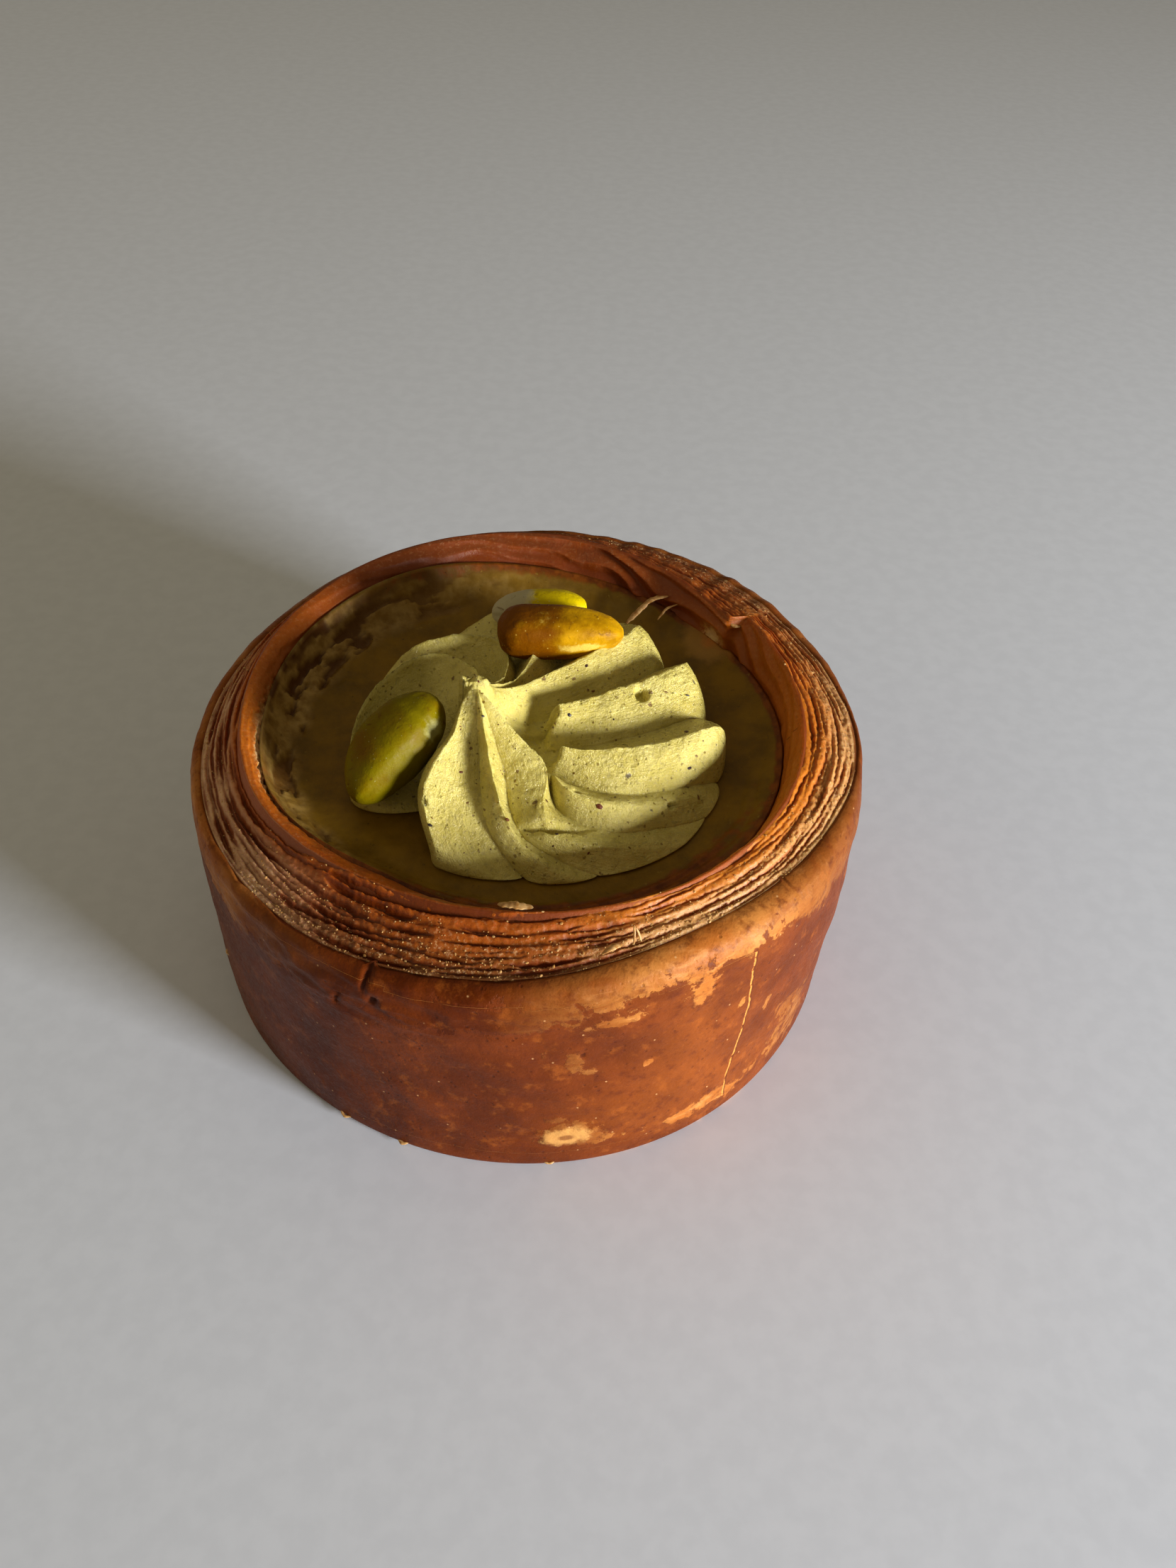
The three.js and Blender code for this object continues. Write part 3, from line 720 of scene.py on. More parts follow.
def pastry_sheets():
    """Baked sheets of the rim: grey-brown outside, orange inside, pale and crumbly on top, painted lit
    or painted shaded round the tart, with painted shade in creases and down the inner face.
    """
    finish = Finish("pastry_sheets", Specular_IOR_Level=0.3, Subsurface_Weight=0.35,
                    Subsurface_Radius=(1.0, 0.4, 0.08), Subsurface_Scale=0.0016)
    depth = finish.value_of("depth")
    edge = finish.value_of("edge")
    sunny = finish.value_of("sunny")
    baked = finish.value_of("baked")
    raw = finish.value_of("raw")
    cloud = finish.noise(3.0, 5.0)
    lit = finish.ramp(finish.sum(depth, finish.uneven(cloud, 0.5)),
                      (0.02, tint(152, 108, 74)), (0.2, tint(168, 110, 54)),
                      (0.45, tint(192, 116, 38)), (0.95, tint(206, 118, 26)))
    # Painted shade: a darker copy of the colours, used where the rim is painted shaded
    shaded = finish.blend(1.0, lit, tint(200, 170, 126), "MULTIPLY")
    finish.colour = finish.blend(finish.band(sunny, 0.0, 0.8), shaded, lit)
    # Pale straw on the outer sheets, laid only where the rim is painted lit
    straw = finish.times(finish.band(sunny, 0.2, 0.6), finish.band(depth, 0.7, 0.3, 0.0, 0.65))
    finish.paint(straw, tint(212, 160, 100))
    burnt = finish.tones(cloud, tint(92, 38, 14), tint(128, 62, 26))
    finish.paint(finish.times(baked, finish.band(cloud, 0.3, 0.7, 0.75, 1.2)), burnt)
    ashen = finish.times(finish.band(baked, -0.1, -0.9), finish.band(depth, 0.85, 0.45, 0.0, 0.85))
    finish.paint(ashen, finish.tones(cloud, tint(192, 144, 110), tint(226, 182, 144)))
    crumb = finish.noise(0.5, 4.0, 0.7)
    pale = finish.times(finish.times(edge, finish.band(crumb, 0.52, 0.66)),
                        finish.band(depth, 0.75, 0.1, 0.15, 0.75))
    finish.paint(pale, tint(222, 180, 132))
    finish.stain(crumb, 0.46, 0.3, 0.5, tint(116, 52, 14))
    # Painted shade in the creases between the sheets and down the inner face, darker where the rim is
    # painted shaded
    low = finish.blend(sunny, tint(104, 40, 8), tint(176, 78, 12))
    finish.stain(edge, 0.85, 0.2, 0.85, low)
    finish.paint(finish.times(raw, 0.6), tint(176, 98, 24))
    raw_crumbs = finish.times(finish.band(raw, 0.4, 1.0), finish.band(crumb, 0.4, 0.6))
    finish.paint(raw_crumbs, tint(228, 182, 120))
    finish.stain(raw, 0.72, 0.92, 0.85, tint(232, 196, 144))
    return finish.wear(cloud, 0.36, 0.56, finish.relief(crumb, 0.5, 0.16))


def custard_top():
    """Baked pistachio custard: olive, clouded, crusted at its edge, with specks and a moist skin."""
    finish = Finish("custard_top", Specular_IOR_Level=0.2, Subsurface_Weight=0.2,
                    Subsurface_Radius=(1.0, 0.8, 0.2), Subsurface_Scale=0.0012)
    cloud = finish.noise(6.0, 6.0, 0.6)
    finish.colour = finish.tones(cloud, tint(104, 76, 6), tint(136, 102, 18))
    streak = finish.noise(1.7, 5.0, 0.6)
    dry = finish.tones(streak, tint(138, 104, 44), tint(178, 146, 84))
    finish.paint(finish.value_of("crust"), dry)
    finish.paint(finish.value_of("crag"), tint(90, 52, 14))
    brown = finish.tones(streak, tint(92, 42, 8), tint(132, 70, 14))
    edge = finish.sum(finish.value_of("browned"), finish.uneven(streak, 1.0))
    finish.stain(edge, 0.3, 0.7, 1.0, brown)
    glow = finish.sum(finish.value_of("glow"), finish.uneven(streak, 0.6))
    finish.stain(glow, 0.15, 0.6, 0.8, tint(172, 128, 58))
    finish.stain(glow, 0.8, 1.1, 0.7, tint(196, 118, 48))
    fine = finish.noise(0.9, 4.0, 0.7)
    finish.stain(fine, 0.64, 0.74, 0.8, tint(48, 34, 8))
    finish.stain(fine, 0.36, 0.28, 0.5, tint(160, 134, 56))
    relief = finish.relief(finish.noise(1.3, 5.0, 0.6), 0.45, 0.25)
    return finish.wear(cloud, 0.38, 0.55, relief)


def whipped_cream():
    """Pistachio cream: pale yellow-green with ground nuts and pores in it, soft and wet."""
    finish = Finish("whipped_cream", Specular_IOR_Level=0.75, Subsurface_Weight=0.2,
                    Subsurface_Radius=(1.0, 0.85, 0.28), Subsurface_Scale=0.0010)
    cloud = finish.noise(4.0, 5.0)
    finish.colour = finish.tones(cloud, tint(210, 194, 96), tint(230, 216, 122))
    ground = finish.noise(0.6, 3.0, 0.6)
    finish.stain(ground, 0.52, 0.7, 0.5, tint(160, 142, 52))
    sway = finish.put("TexNoise", Vector=finish.place, Scale=1600.0, Detail=2.0).outputs["Color"]
    bent = finish.put("Mix", {"data_type": "VECTOR"}, n0=0.0007, n4=finish.place, n5=sway).outputs[1]
    for size, most, shade in ((1.0, 0.2, tint(140, 116, 34)), (1.9, 0.16, tint(112, 74, 24)),
                              (4.2, 0.10, tint(58, 36, 26))):
        nut = finish.spots(size, bent)
        reach = finish.band(nut["Chance"], 0.35, 1.0, 0.0, most)
        finish.stain(finish.less(nut["Distance"], reach), 0.02, -0.03, 0.85, shade)
    hole = finish.spots(0.9)
    pore = finish.times(finish.band(hole["Distance"], 0.22, 0.08),
                        finish.band(hole["Chance"], 0.5, 0.6))
    # Painted shade: the pores are painted darker inside
    finish.paint(finish.times(pore, 0.45), tint(146, 124, 42))
    drawn = finish.put("CombineXYZ", X=finish.times(finish.value_of("across"), 26.0),
                       Y=finish.times(finish.value_of("out"), 7.0))
    streaks = finish.put("TexNoise", Vector=drawn.outputs[0], Scale=1.0, Detail=3.0).outputs["Fac"]
    relief = finish.relief(streaks, 0.4, 0.35)
    relief = finish.relief(finish.noise(1.3, 5.0, 0.8), 1.0, 0.5, relief)
    relief = finish.relief(finish.less(1.0, pore), 0.7, 0.22, relief)
    return finish.wear(ground, 0.15, 0.30, relief)


def kernel_skin(name, deep, bright, dust_and_sheen_tint):
    """Pistachio kernel: two tones on it, with pale crusty places, partly a painted highlight, scabs
    and fine wrinkles.
    """
    finish = Finish(name, Specular_IOR_Level=0.08, Subsurface_Weight=0.15,
                    Subsurface_Radius=(1.0, 0.9, 0.1), Subsurface_Scale=0.0008)
    tone = finish.sum(finish.value_of("tone"), finish.uneven(finish.noise(3.6, 4.0), 1.3))
    finish.colour = finish.blend(finish.band(tone, 0.15, 0.85), deep, bright)
    scuff = finish.noise(0.9, 5.0, 0.7)
    dust = finish.sum(finish.value_of("dust"), finish.uneven(scuff, 1.2))
    crusty = finish.band(dust, 0.3, 0.75, 0.0, 0.8)
    # Pale crusty places, in the same tint as a painted highlight on a kernel's lit side
    finish.paint(crusty, dust_and_sheen_tint)
    finish.stain(finish.noise(1.6, 4.0, 0.65, 0.5), 0.6, 0.72, 0.7, tint(92, 54, 14))
    finish.stain(finish.spots(0.8)["Distance"], 0.13, 0.07, 0.5, dust_and_sheen_tint)
    relief = finish.relief(finish.noise(1.2, 5.0, 0.65), 0.55, 0.25)
    relief = finish.relief(crusty, 0.3, 0.12, relief)
    return finish.wear(scuff, 0.36, 0.58, relief)


def nut_specks():
    """Bits of ground pistachio in the cream, from olive through brown to nearly black."""
    finish = Finish("nut_specks", Specular_IOR_Level=0.4)
    finish.colour = finish.ramp(finish.value_of("tone"),
                                (0.0, tint(128, 104, 26)), (0.45, tint(112, 74, 22)),
                                (0.7, tint(104, 50, 22)), (1.0, tint(40, 26, 26)))
    return finish.wear(finish.noise(0.3, 3.0), 0.35, 0.6)


def pale_flakes():
    """Pale dry crumbs and flakes of pastry."""
    finish = Finish("pale_flakes", Specular_IOR_Level=0.4, Subsurface_Weight=0.2,
                    Subsurface_Radius=(1.0, 0.7, 0.4), Subsurface_Scale=0.0006)
    cloud = finish.noise(0.6, 3.0)
    finish.colour = finish.tones(cloud, tint(170, 120, 60), tint(212, 170, 112))
    return finish.wear(cloud, 0.35, 0.6)


def floor_paper():
    """Plain pale floor."""
    finish = Finish("floor_paper", Specular_IOR_Level=0.3)
    cloud = finish.noise(3.0, 3.0)
    finish.colour = finish.tones(cloud, tint(224, 232, 248), tint(228, 236, 252))
    return finish.wear(cloud, 0.6, 0.7)


# Pastry case
def golden_share(angle, height):
    """How golden the skin is, above 0 where it is golden."""
    behind = 1.0 - facing(angle, FRONT)
    level = around(GOLDEN_LEVEL, angle) + GOLDEN_RAGGED * behind * wave(angle, 9)
    above = ease(level - GOLDEN_BLUR, level + GOLDEN_BLUR, height)
    share = mix(BELOW_GOLD, ABOVE_GOLD, above)
    for *place, strength in GOLDEN_PLACES:
        share += strength * on_wall(angle, height, place)
    for *place, strength in BROWN_PLACES:
        share -= strength * on_wall(angle, height, place)
    return share


def crack_offset(angle, height):
    """Distance round the wall from the crack in the skin, far away where there is none."""
    for (angle_up, high), (angle_down, low) in zip(CRACK, CRACK[1:]):
        if low <= height <= high:
            middle = mix(angle_down, angle_up, (height - low) / (high - low))
            off = math.radians(turn_between(angle, middle)) * WALL_RADIUS
            return max(-CRACK_FAR, min(CRACK_FAR, off + 0.12 * grain((0, 0, height), 0.9, 5)))
    return CRACK_FAR


def blister_offset(angle, height):
    """Distance from the middle of the blister, 1 at its edge."""
    place, middle, half_width, half_height = BLISTER
    off = math.hypot(turn_between(angle, place) / half_width, (height - middle) / half_height)
    return min(BLISTER_FAR, off)


def rim_level(angle, part):
    """Height of the rim from the edge of the skin at 0 to its crest at 1."""
    bulge = around(RIM_BULGE, angle)
    return mix(edge_height(angle), around(CREST_HEIGHT, angle) + torn_outline(angle), part ** bulge)


def case_section(angle):
    """Section through the case from the middle of its underside to the middle of its inside."""
    foot = around(FOOT_RADIUS, angle)
    edge = around(EDGE_RADIUS, angle)
    top = edge_height(angle)
    crest = crest_radius(angle)
    crest_top = around(CREST_HEIGHT, angle)
    shoulder = top - SHOULDER_DROP
    gap = around(SHEET_GAP, angle)
    section = [(0.0, 0.0), (foot - 4 * FOOT_ROUND, 0.0), (foot - FOOT_ROUND, 0.0),
               (foot - 0.3 * FOOT_ROUND, 0.3 * FOOT_ROUND)]
    for row in range(WALL_ROWS + 1):
        height = mix(FOOT_ROUND, shoulder, row / WALL_ROWS)
        section.append((wall_radius(angle, height), height))
    upright = section[-1][0]
    for row in range(1, SHOULDER_ROWS + 1):
        part = row / SHOULDER_ROWS
        inward = 1.0 - math.sqrt(1.0 - part * part)
        section.append((mix(upright, edge, inward), shoulder + part * SHOULDER_DROP))
    section.append((edge - 0.7 * SKIN_THICKNESS, top - 0.1))
    section.append((edge - SKIN_THICKNESS, top - 0.5 * gap))
    for row in range(GROOVE_ROWS + 1):
        part = row / GROOVE_ROWS
        below = mix(0.4 * gap, RIM_UNDERSIDE, ease(0.0, 0.2, part) - ease(0.85, 1.0, part))
        below += tear_depth(angle, top) * (1.0 - ease(0.0, 0.12, part))
        section.append((mix(edge - 1.5 * SKIN_THICKNESS, crest + 0.3, part),
                        rim_level(angle, part) - below))
    lip = lip_radius(angle)
    lip_height = around(LIP_HEIGHT, angle)
    for row in range(INNER_FACE_ROWS + 1):
        part = row / INNER_FACE_ROWS
        bulge = 0.5 * math.sin(math.pi * part)
        section.append((mix(crest, lip, part ** 1.2) - 0.3 * bulge,
                        mix(crest_top - 0.15, lip_height - 1.2, part) + bulge))
    section.append(((lip + INNER_RADIUS) / 2, lip_height - LIP_DEPTH))
    section.append((INNER_RADIUS, INNER_STRAIGHT_HEIGHT))
    section.append((FLOOR_RADIUS, FLOOR_HEIGHT))
    section.append((0.0, FLOOR_HEIGHT))
    return section


def skin_relief(angle, height, spot):
    """How far the skin stands out at a place, and how torn it is there: how deep in a torn slot or
    hole, which is painted dark as shade.
    """
    slot = tear_depth(angle, height)
    torn = slot
    outward = bumps(spot, SKIN_WAVES) + bumps(spot, SKIN_GRIT)
    fold = 1.0 - abs(grain((angle / 5.0, 0.0, height + angle / 14.0), 1.5, 3)) * 2.0
    outward += 0.38 * ease(*FOLDS_BEGIN, height) * facing(angle, FOLDED_SKIN) * fold
    for place, middle, half_width, deep in SKIN_HOLES:
        off = math.radians(turn_between(angle, place)) * WALL_RADIUS
        hole = hill(math.hypot(off, height - middle), half_width)
        outward -= deep * hole
        torn = max(torn, 1.2 * hole)
    from_blister = blister_offset(angle, height) + 0.5 * grain(spot, 1.3, 12)
    outward += 0.25 * (1.0 - ease(0.6, 1.3, from_blister))
    return outward * ease(0.0, 3.0, height) - slot, torn


def face_relief(angle, part, spot):
    """Inner face from the crest at 0 to the lip at 1: how far it stands out and up, how raw it is, and
    how light, which is painted shade that darkens it towards the lip and in its folds."""
    crumbly = facing(angle, CRUMBLY_LIP) * ease(0.15, 1.0, part)
    folded = 0.15 + facing(angle, FOLDED_FLAP)
    sway = 1.1 * grain(turned(9.0, angle, 2.0 * part), 2.2, 9) + angle / 26.0
    fold = 1.0 - abs(2.0 * ((2.4 * part + sway) % 1.0) - 1.0)
    fold *= ease(0.0, 0.12, part) * (1.0 - ease(0.9, 1.0, part))
    outward = 0.08 * wave(3 * angle, 2) + bumps(spot, LIP_WAVES)
    outward -= 0.9 * folded * fold ** 1.5 + crumbly * bumps(spot, LIP_CRUMBS)
    upward = 0.25 * folded * fold + crumbly * bumps(spot, LIP_LUMPS)
    # Painted shade: darker towards the lip and in the hollows of the folds
    light = mix(1.0, 0.5, ease(0.2, 1.0, part)) * mix(1.0, 0.45 + 0.55 * fold, min(1.0, folded))
    raw = max(crumbly, 0.9 * facing(angle, RAW_PASTRY) * hill(part - 0.8, 0.4))
    return outward, upward, light, raw


def make_case(skin, sheets):
    rows = len(case_section(0.0))
    wall_end = FOOT_ROWS + WALL_ROWS + SHOULDER_ROWS + 2
    face_start = rows - INSIDE_ROWS - INNER_FACE_ROWS - 1
    bm = bmesh.new()
    layers = float_layers(bm, "golden", "sunny", "warm", "crack", "blister", "torn",
                          "depth", "edge", "raw", "baked")
    sections = {}
    for vert, angle, row in rolled(bm, rows, CASE_STEPS):
        step = round(angle * CASE_STEPS / FULL_TURN) % CASE_STEPS
        if step not in sections:
            sections[step] = case_section(step * FULL_TURN / CASE_STEPS)
        radius, height = sections[step][row]
        spot = turned(radius, angle, height)
        # Each point carries the painted light and shade round the tart, the skin's here and the rim's
        # on the inner face
        give(vert, layers, crack=CRACK_FAR, blister=BLISTER_FAR,
             sunny=around(SKIN_PAINTED_LIGHT, angle), baked=around(BAKED, angle))
        if FOOT_ROWS <= row <= wall_end:
            outward, torn = skin_relief(angle, height, spot)
            warm = sum(WARMTH * on_wall(angle, height, place) for place in WARM_PLACES)
            give(vert, layers, golden=golden_share(angle, height), warm=min(1.0, warm), torn=torn,
                 crack=crack_offset(angle, height), blister=blister_offset(angle, height))
            radius += outward
        elif row >= face_start:
            part = (row - face_start) / INNER_FACE_ROWS
            outward, upward, light, raw = face_relief(angle, part, spot)
            # The inner face's painted shade goes in as its edge value
            give(vert, layers, depth=1.0, sunny=around(RIM_PAINTED_LIGHT, angle), edge=light, raw=raw)
            radius += outward
            height += upward
        vert.co = turned(radius, angle, height)
    piece = finish_piece("pastry_body", bm, skin, "pastry_case")
    piece.data.materials.append(sheets)
    for face in piece.data.polygons:
        right, back, height = face.center / MILLIMETRE
        angle = math.degrees(math.atan2(back, right)) % FULL_TURN
        within = math.hypot(right, back) < around(EDGE_RADIUS, angle) - 0.3
        face.material_index = 1 if within and height > SHEETS_ABOVE else 0


# Layered rim
def rim_creases(angle):
    """Creases of the rim at an angle: place from skin to crest, depth, lift of the sheet after it."""
    gap = around(SHEET_GAP, angle)
    gather = around(SHEET_GATHER, angle)
    packing = around(SHEET_PACKING, angle)
    creases = []
    for crease in range(RIM_CREASES):
        spot = turned(30.0, angle, 9.0 * crease)
        drift = 0.9 * grain(spot, 13.0, 31) + 0.5 * grain(spot, 4.5, 32)
        drift += 0.25 * rough(spot, 0.8, 30, 2)
        place = max(0.04, (crease + 0.7 + drift) / RIM_CREASES) ** packing
        strong = mix(1.0, 1.5 if crease % 2 else 0.3, gather)
        deep = gap * strong * min(1.0, max(0.0, 0.55 + 1.7 * grain(spot, 5.5, 33)))
        creases.append((place, deep, 0.65 * gap * grain(spot, 9.0, 34)))
    return creases


def rim_spot(angle, part, creases):
    """Point on the rim from the skin at 0 to the crest at 1, and how deep it lies in a crease."""
    gap = around(SHEET_GAP, angle)
    edge = around(EDGE_RADIUS, angle) - SKIN_THICKNESS
    crest = crest_radius(angle) - 0.15
    width = edge - crest
    lift = deep = last = 0.0
    for place, depth, step in creases:
        off = (part - place) * width
        if off > -0.2:
            lift += (step - last) * ease(-0.2, 0.12, off)
        last = step
        if abs(off) < 1.2:
            half_width = CREASE_HALF_WIDTH * mix(0.7, 1.5, min(1.0, depth))
            deep = max(deep, depth * math.exp(-(abs(off) / half_width) ** 1.4))
    held = ease(0.0, 0.08, part)
    level = rim_level(angle, part) + held * (lift - deep) - 0.1 - 0.35 * ease(0.95, 1.0, part)
    spot = turned(mix(edge, crest, part), angle, level)
    outer = 1.0 - ease(0.2, 0.7, part)
    comb = facing(angle, COMBED_SHEETS) * (1.0 - ease(0.55, 0.75, part))
    grit = mix(0.09, 0.16, outer) * rough(spot, 0.55, 37, 3) + 0.34 * comb * rough(spot, 0.5, 38, 2)
    spot.z += held * min(1.0, gap) * (grit + 0.1 * rough(spot, 2.0, 39, 2))
    return spot, deep


def make_rim(sheets):
    """Rolled sheets on top of the case, closed by three rows underneath."""
    bm = bmesh.new()
    layers = float_layers(bm, "depth", "edge", "sunny", "baked")
    under_parts = (1.0, 0.5, 0.0)
    section = RIM_ROWS + len(under_parts)
    creases = {}
    for vert, angle, row in rolled(bm, section + 1, RIM_STEPS):
        row %= section
        step = round(angle * RIM_STEPS / FULL_TURN) % RIM_STEPS
        angle = step * FULL_TURN / RIM_STEPS
        if row >= RIM_ROWS:
            part = under_parts[row - RIM_ROWS]
            radius = mix(around(EDGE_RADIUS, angle) - SKIN_THICKNESS, crest_radius(angle), part)
            vert.co = turned(radius, angle, rim_level(angle, part) - RIM_UNDERSIDE)
            continue
        if step not in creases:
            creases[step] = rim_creases(angle)
        part = row / (RIM_ROWS - 1)
        vert.co, deep = rim_spot(angle, part, creases[step])
        # The deeper a point lies in a crease, the lower its value and the darker its painted shade
        give(vert, layers, depth=part, edge=1.0 - min(1.0, deep / 0.6),
             sunny=around(RIM_PAINTED_LIGHT, angle), baked=around(BAKED, angle))
    finish_piece("rim_sheets", bm, sheets)


def make_crumbs(flakes):
    """Pale crystals and crumbs on the rim, most of them on its outer sheets and at the front."""
    draw = random.Random(CRUMB_SEED)
    bm = bmesh.new()
    for _ in range(CRUMBS):
        anywhere = draw.random() < CRUMBS_ANYWHERE
        angle = draw.uniform(0.0, FULL_TURN) if anywhere else draw.gauss(*CRUMBY_RIM)
        angle %= FULL_TURN
        part = min(0.97, abs(draw.gauss(0.0, CRUMB_SPREAD)))
        size = draw.uniform(*CRUMB_SIZES)
        if draw.random() < LARGE_CRUMB_CHANCE:
            size *= LARGE_CRUMB
        place = rim_spot(angle, part, rim_creases(angle))[0] + Vector((0, 0, 0.3 * size))
        stretch = (draw.uniform(0.7, 1.5), draw.uniform(0.7, 1.3), draw.uniform(0.5, 1.0))
        put_crumb(bm, place, size, stretch, draw.uniform(0.0, math.pi))
    finish_piece("rim_crumbs", bm, flakes, smooth=False)


def make_shreds(flakes):
    """Torn shreds and flakes of pastry on the rim, at the flap and at the foot."""
    bm = bmesh.new()
    for half_width, half_thick, points in SHREDS:
        stations = [index / (len(points) - 1) for index in range(len(points))]
        spots = [turned(radius, angle, height) for angle, radius, height in points]
        for vert, turn, row in rolled(bm, SHRED_CORNERS + 1, SHRED_STEPS):
            part = turn / FULL_TURN
            before, here, after = (
                Vector([along(stations, [spot[axis] for spot in spots], place) for axis in range(3)])
                for place in (max(0.0, part - 0.03), part, min(1.0, part + 0.03)))
            side = (after - before).cross(Vector((0, 0, 1))).normalized()
            above = side.cross(after - before).normalized()
            taper = max(0.0, math.sin(math.pi * part)) ** 0.5
            corner = math.tau * (row % SHRED_CORNERS) / SHRED_CORNERS
            uneven = 1.0 + 0.5 * grain(here + 0.3 * side * math.cos(corner), 0.5, 44)
            vert.co = here + taper * uneven * (half_width * math.cos(corner) * side
                                               + half_thick * math.sin(corner) * above)
    finish_piece("pastry_shreds", bm, flakes)


# Custard
def custard_surface(angle, radius, lip, lip_height):
    """Height of the custard's top at a place, and how crusted, craggy, browned and aglow it is."""
    part = max(0.0, (radius - CUSTARD_FLAT_RADIUS) / (lip - CUSTARD_FLAT_RADIUS))
    free = 1 - part ** 10
    spot = turned(radius, angle, 0.0)
    left = facing(angle, CRUSTED_CUSTARD)
    front = facing(angle, STEPPED_CUSTARD)
    height = mix(CUSTARD_LEVEL, lip_height, part ** mix(2.0, 4.6, left))
    crust = left * ease(0.4, 0.66, part + 0.16 * grain(spot, 4.0, 20))
    drawn_out = (9.0 * math.radians(angle), radius, 0.8 * height)
    crag = crust * ease(0.0, 0.3, rough(drawn_out, 1.7, 8))
    at_lip = 0.8 * left * hill(part - 0.94, 0.05)
    crag = max(crag, at_lip * ease(-0.3, 0.2, rough(drawn_out, 1.2, 11)))
    steps = math.sin(26.0 * part + 3.0 * grain(spot, 6.0, 23)) * ease(0.2, 0.5, part)
    height += bumps(spot, CUSTARD_WAVES) * (1 - part)
    height += (crust * bumps(spot, CRUST_LUMPS) - 0.8 * crag + 0.18 * front * steps) * free
    browned = mix(ease(0.8, 1.0, part), ease(0.1, 0.55, part), front) * (1.0 - 0.8 * left)
    glow = facing(angle, GLOWING_CUSTARD) * ease(0.2, 1.0, part)
    return height, {"crust": crust, "crag": crag, "browned": browned, "glow": glow}


def make_custard():
    bm = bmesh.new()
    layers = float_layers(bm, "crag", "browned", "crust", "glow")
    inner = INNER_RADIUS - TOUCH_GAP
    floor_height = FLOOR_HEIGHT + TOUCH_GAP
    for vert, angle, row in rolled(bm, CUSTARD_ROWS + 1 + INSIDE_ROWS, CUSTARD_STEPS):
        lip = lip_radius(angle) - EDGE_GAP
        lip_height = around(LIP_HEIGHT, angle) - TOUCH_GAP
        if row > CUSTARD_ROWS:
            inside = [((lip + inner) / 2, lip_height - LIP_DEPTH), (inner, INNER_STRAIGHT_HEIGHT),
                      (FLOOR_RADIUS - TOUCH_GAP, floor_height), (0.0, floor_height)]
            radius, height = inside[row - CUSTARD_ROWS - 1]
        else:
            radius = lip * (row / CUSTARD_ROWS) ** 0.6
            height, values = custard_surface(angle, radius, lip, lip_height)
            give(vert, layers, **values)
        vert.co = turned(radius, angle, height)
    finish_piece("custard_filling", bm, custard_top(), "custard")


# Cream
def ridge_sway(petal, out):
    """Small sideways waves of a petal's ridge, in degrees."""
    return 1.8 * grain((petal * 13.7, out * 24.0, 0.0), 2.6, 17) * ease(0.1, 0.3, out) * (1 - out)


def ridge_angle(petal, out):
    return along(PETAL_STATIONS, PETALS[petal].angles, out) + ridge_sway(petal, out)


def ridge_rise(petal, out, ragged):
    """Height of a petal's ridge above the custard, with the notches torn across it."""
    rise = along(PETAL_STATIONS, PETALS[petal].rises, out)
    rise += 0.22 * grain((petal * 17.3, out * 24.0, 4.0), 1.9, 18) * ease(0.1, 0.3, out)
    for notched, middle, half_length, deep in RIDGE_NOTCHES:
        if notched == petal:
            rise -= deep * hill(out + ragged - middle, half_length)
    return rise


def crowned_height(spot):
    """Height of a point once the ragged crown stands on the peak."""
    off = Vector(((spot.x - ROSETTE_PEAK[0] - CROWN_SIDE) / CROWN_HALF_WIDTH,
                  (spot.y - ROSETTE_PEAK[1] - CROWN_BACK) / CROWN_HALF_DEPTH))
    crown = 1.0 - ease(0.7, 1.15, off.length + 0.2 * grain(spot, 1.0, 15))
    ragged_top = ROSETTE_PEAK[2] - 0.45 + 0.45 * grain((spot.x, spot.y, 0.0), 1.1, 16)
    return max(spot.z, mix(spot.z, ragged_top, crown))


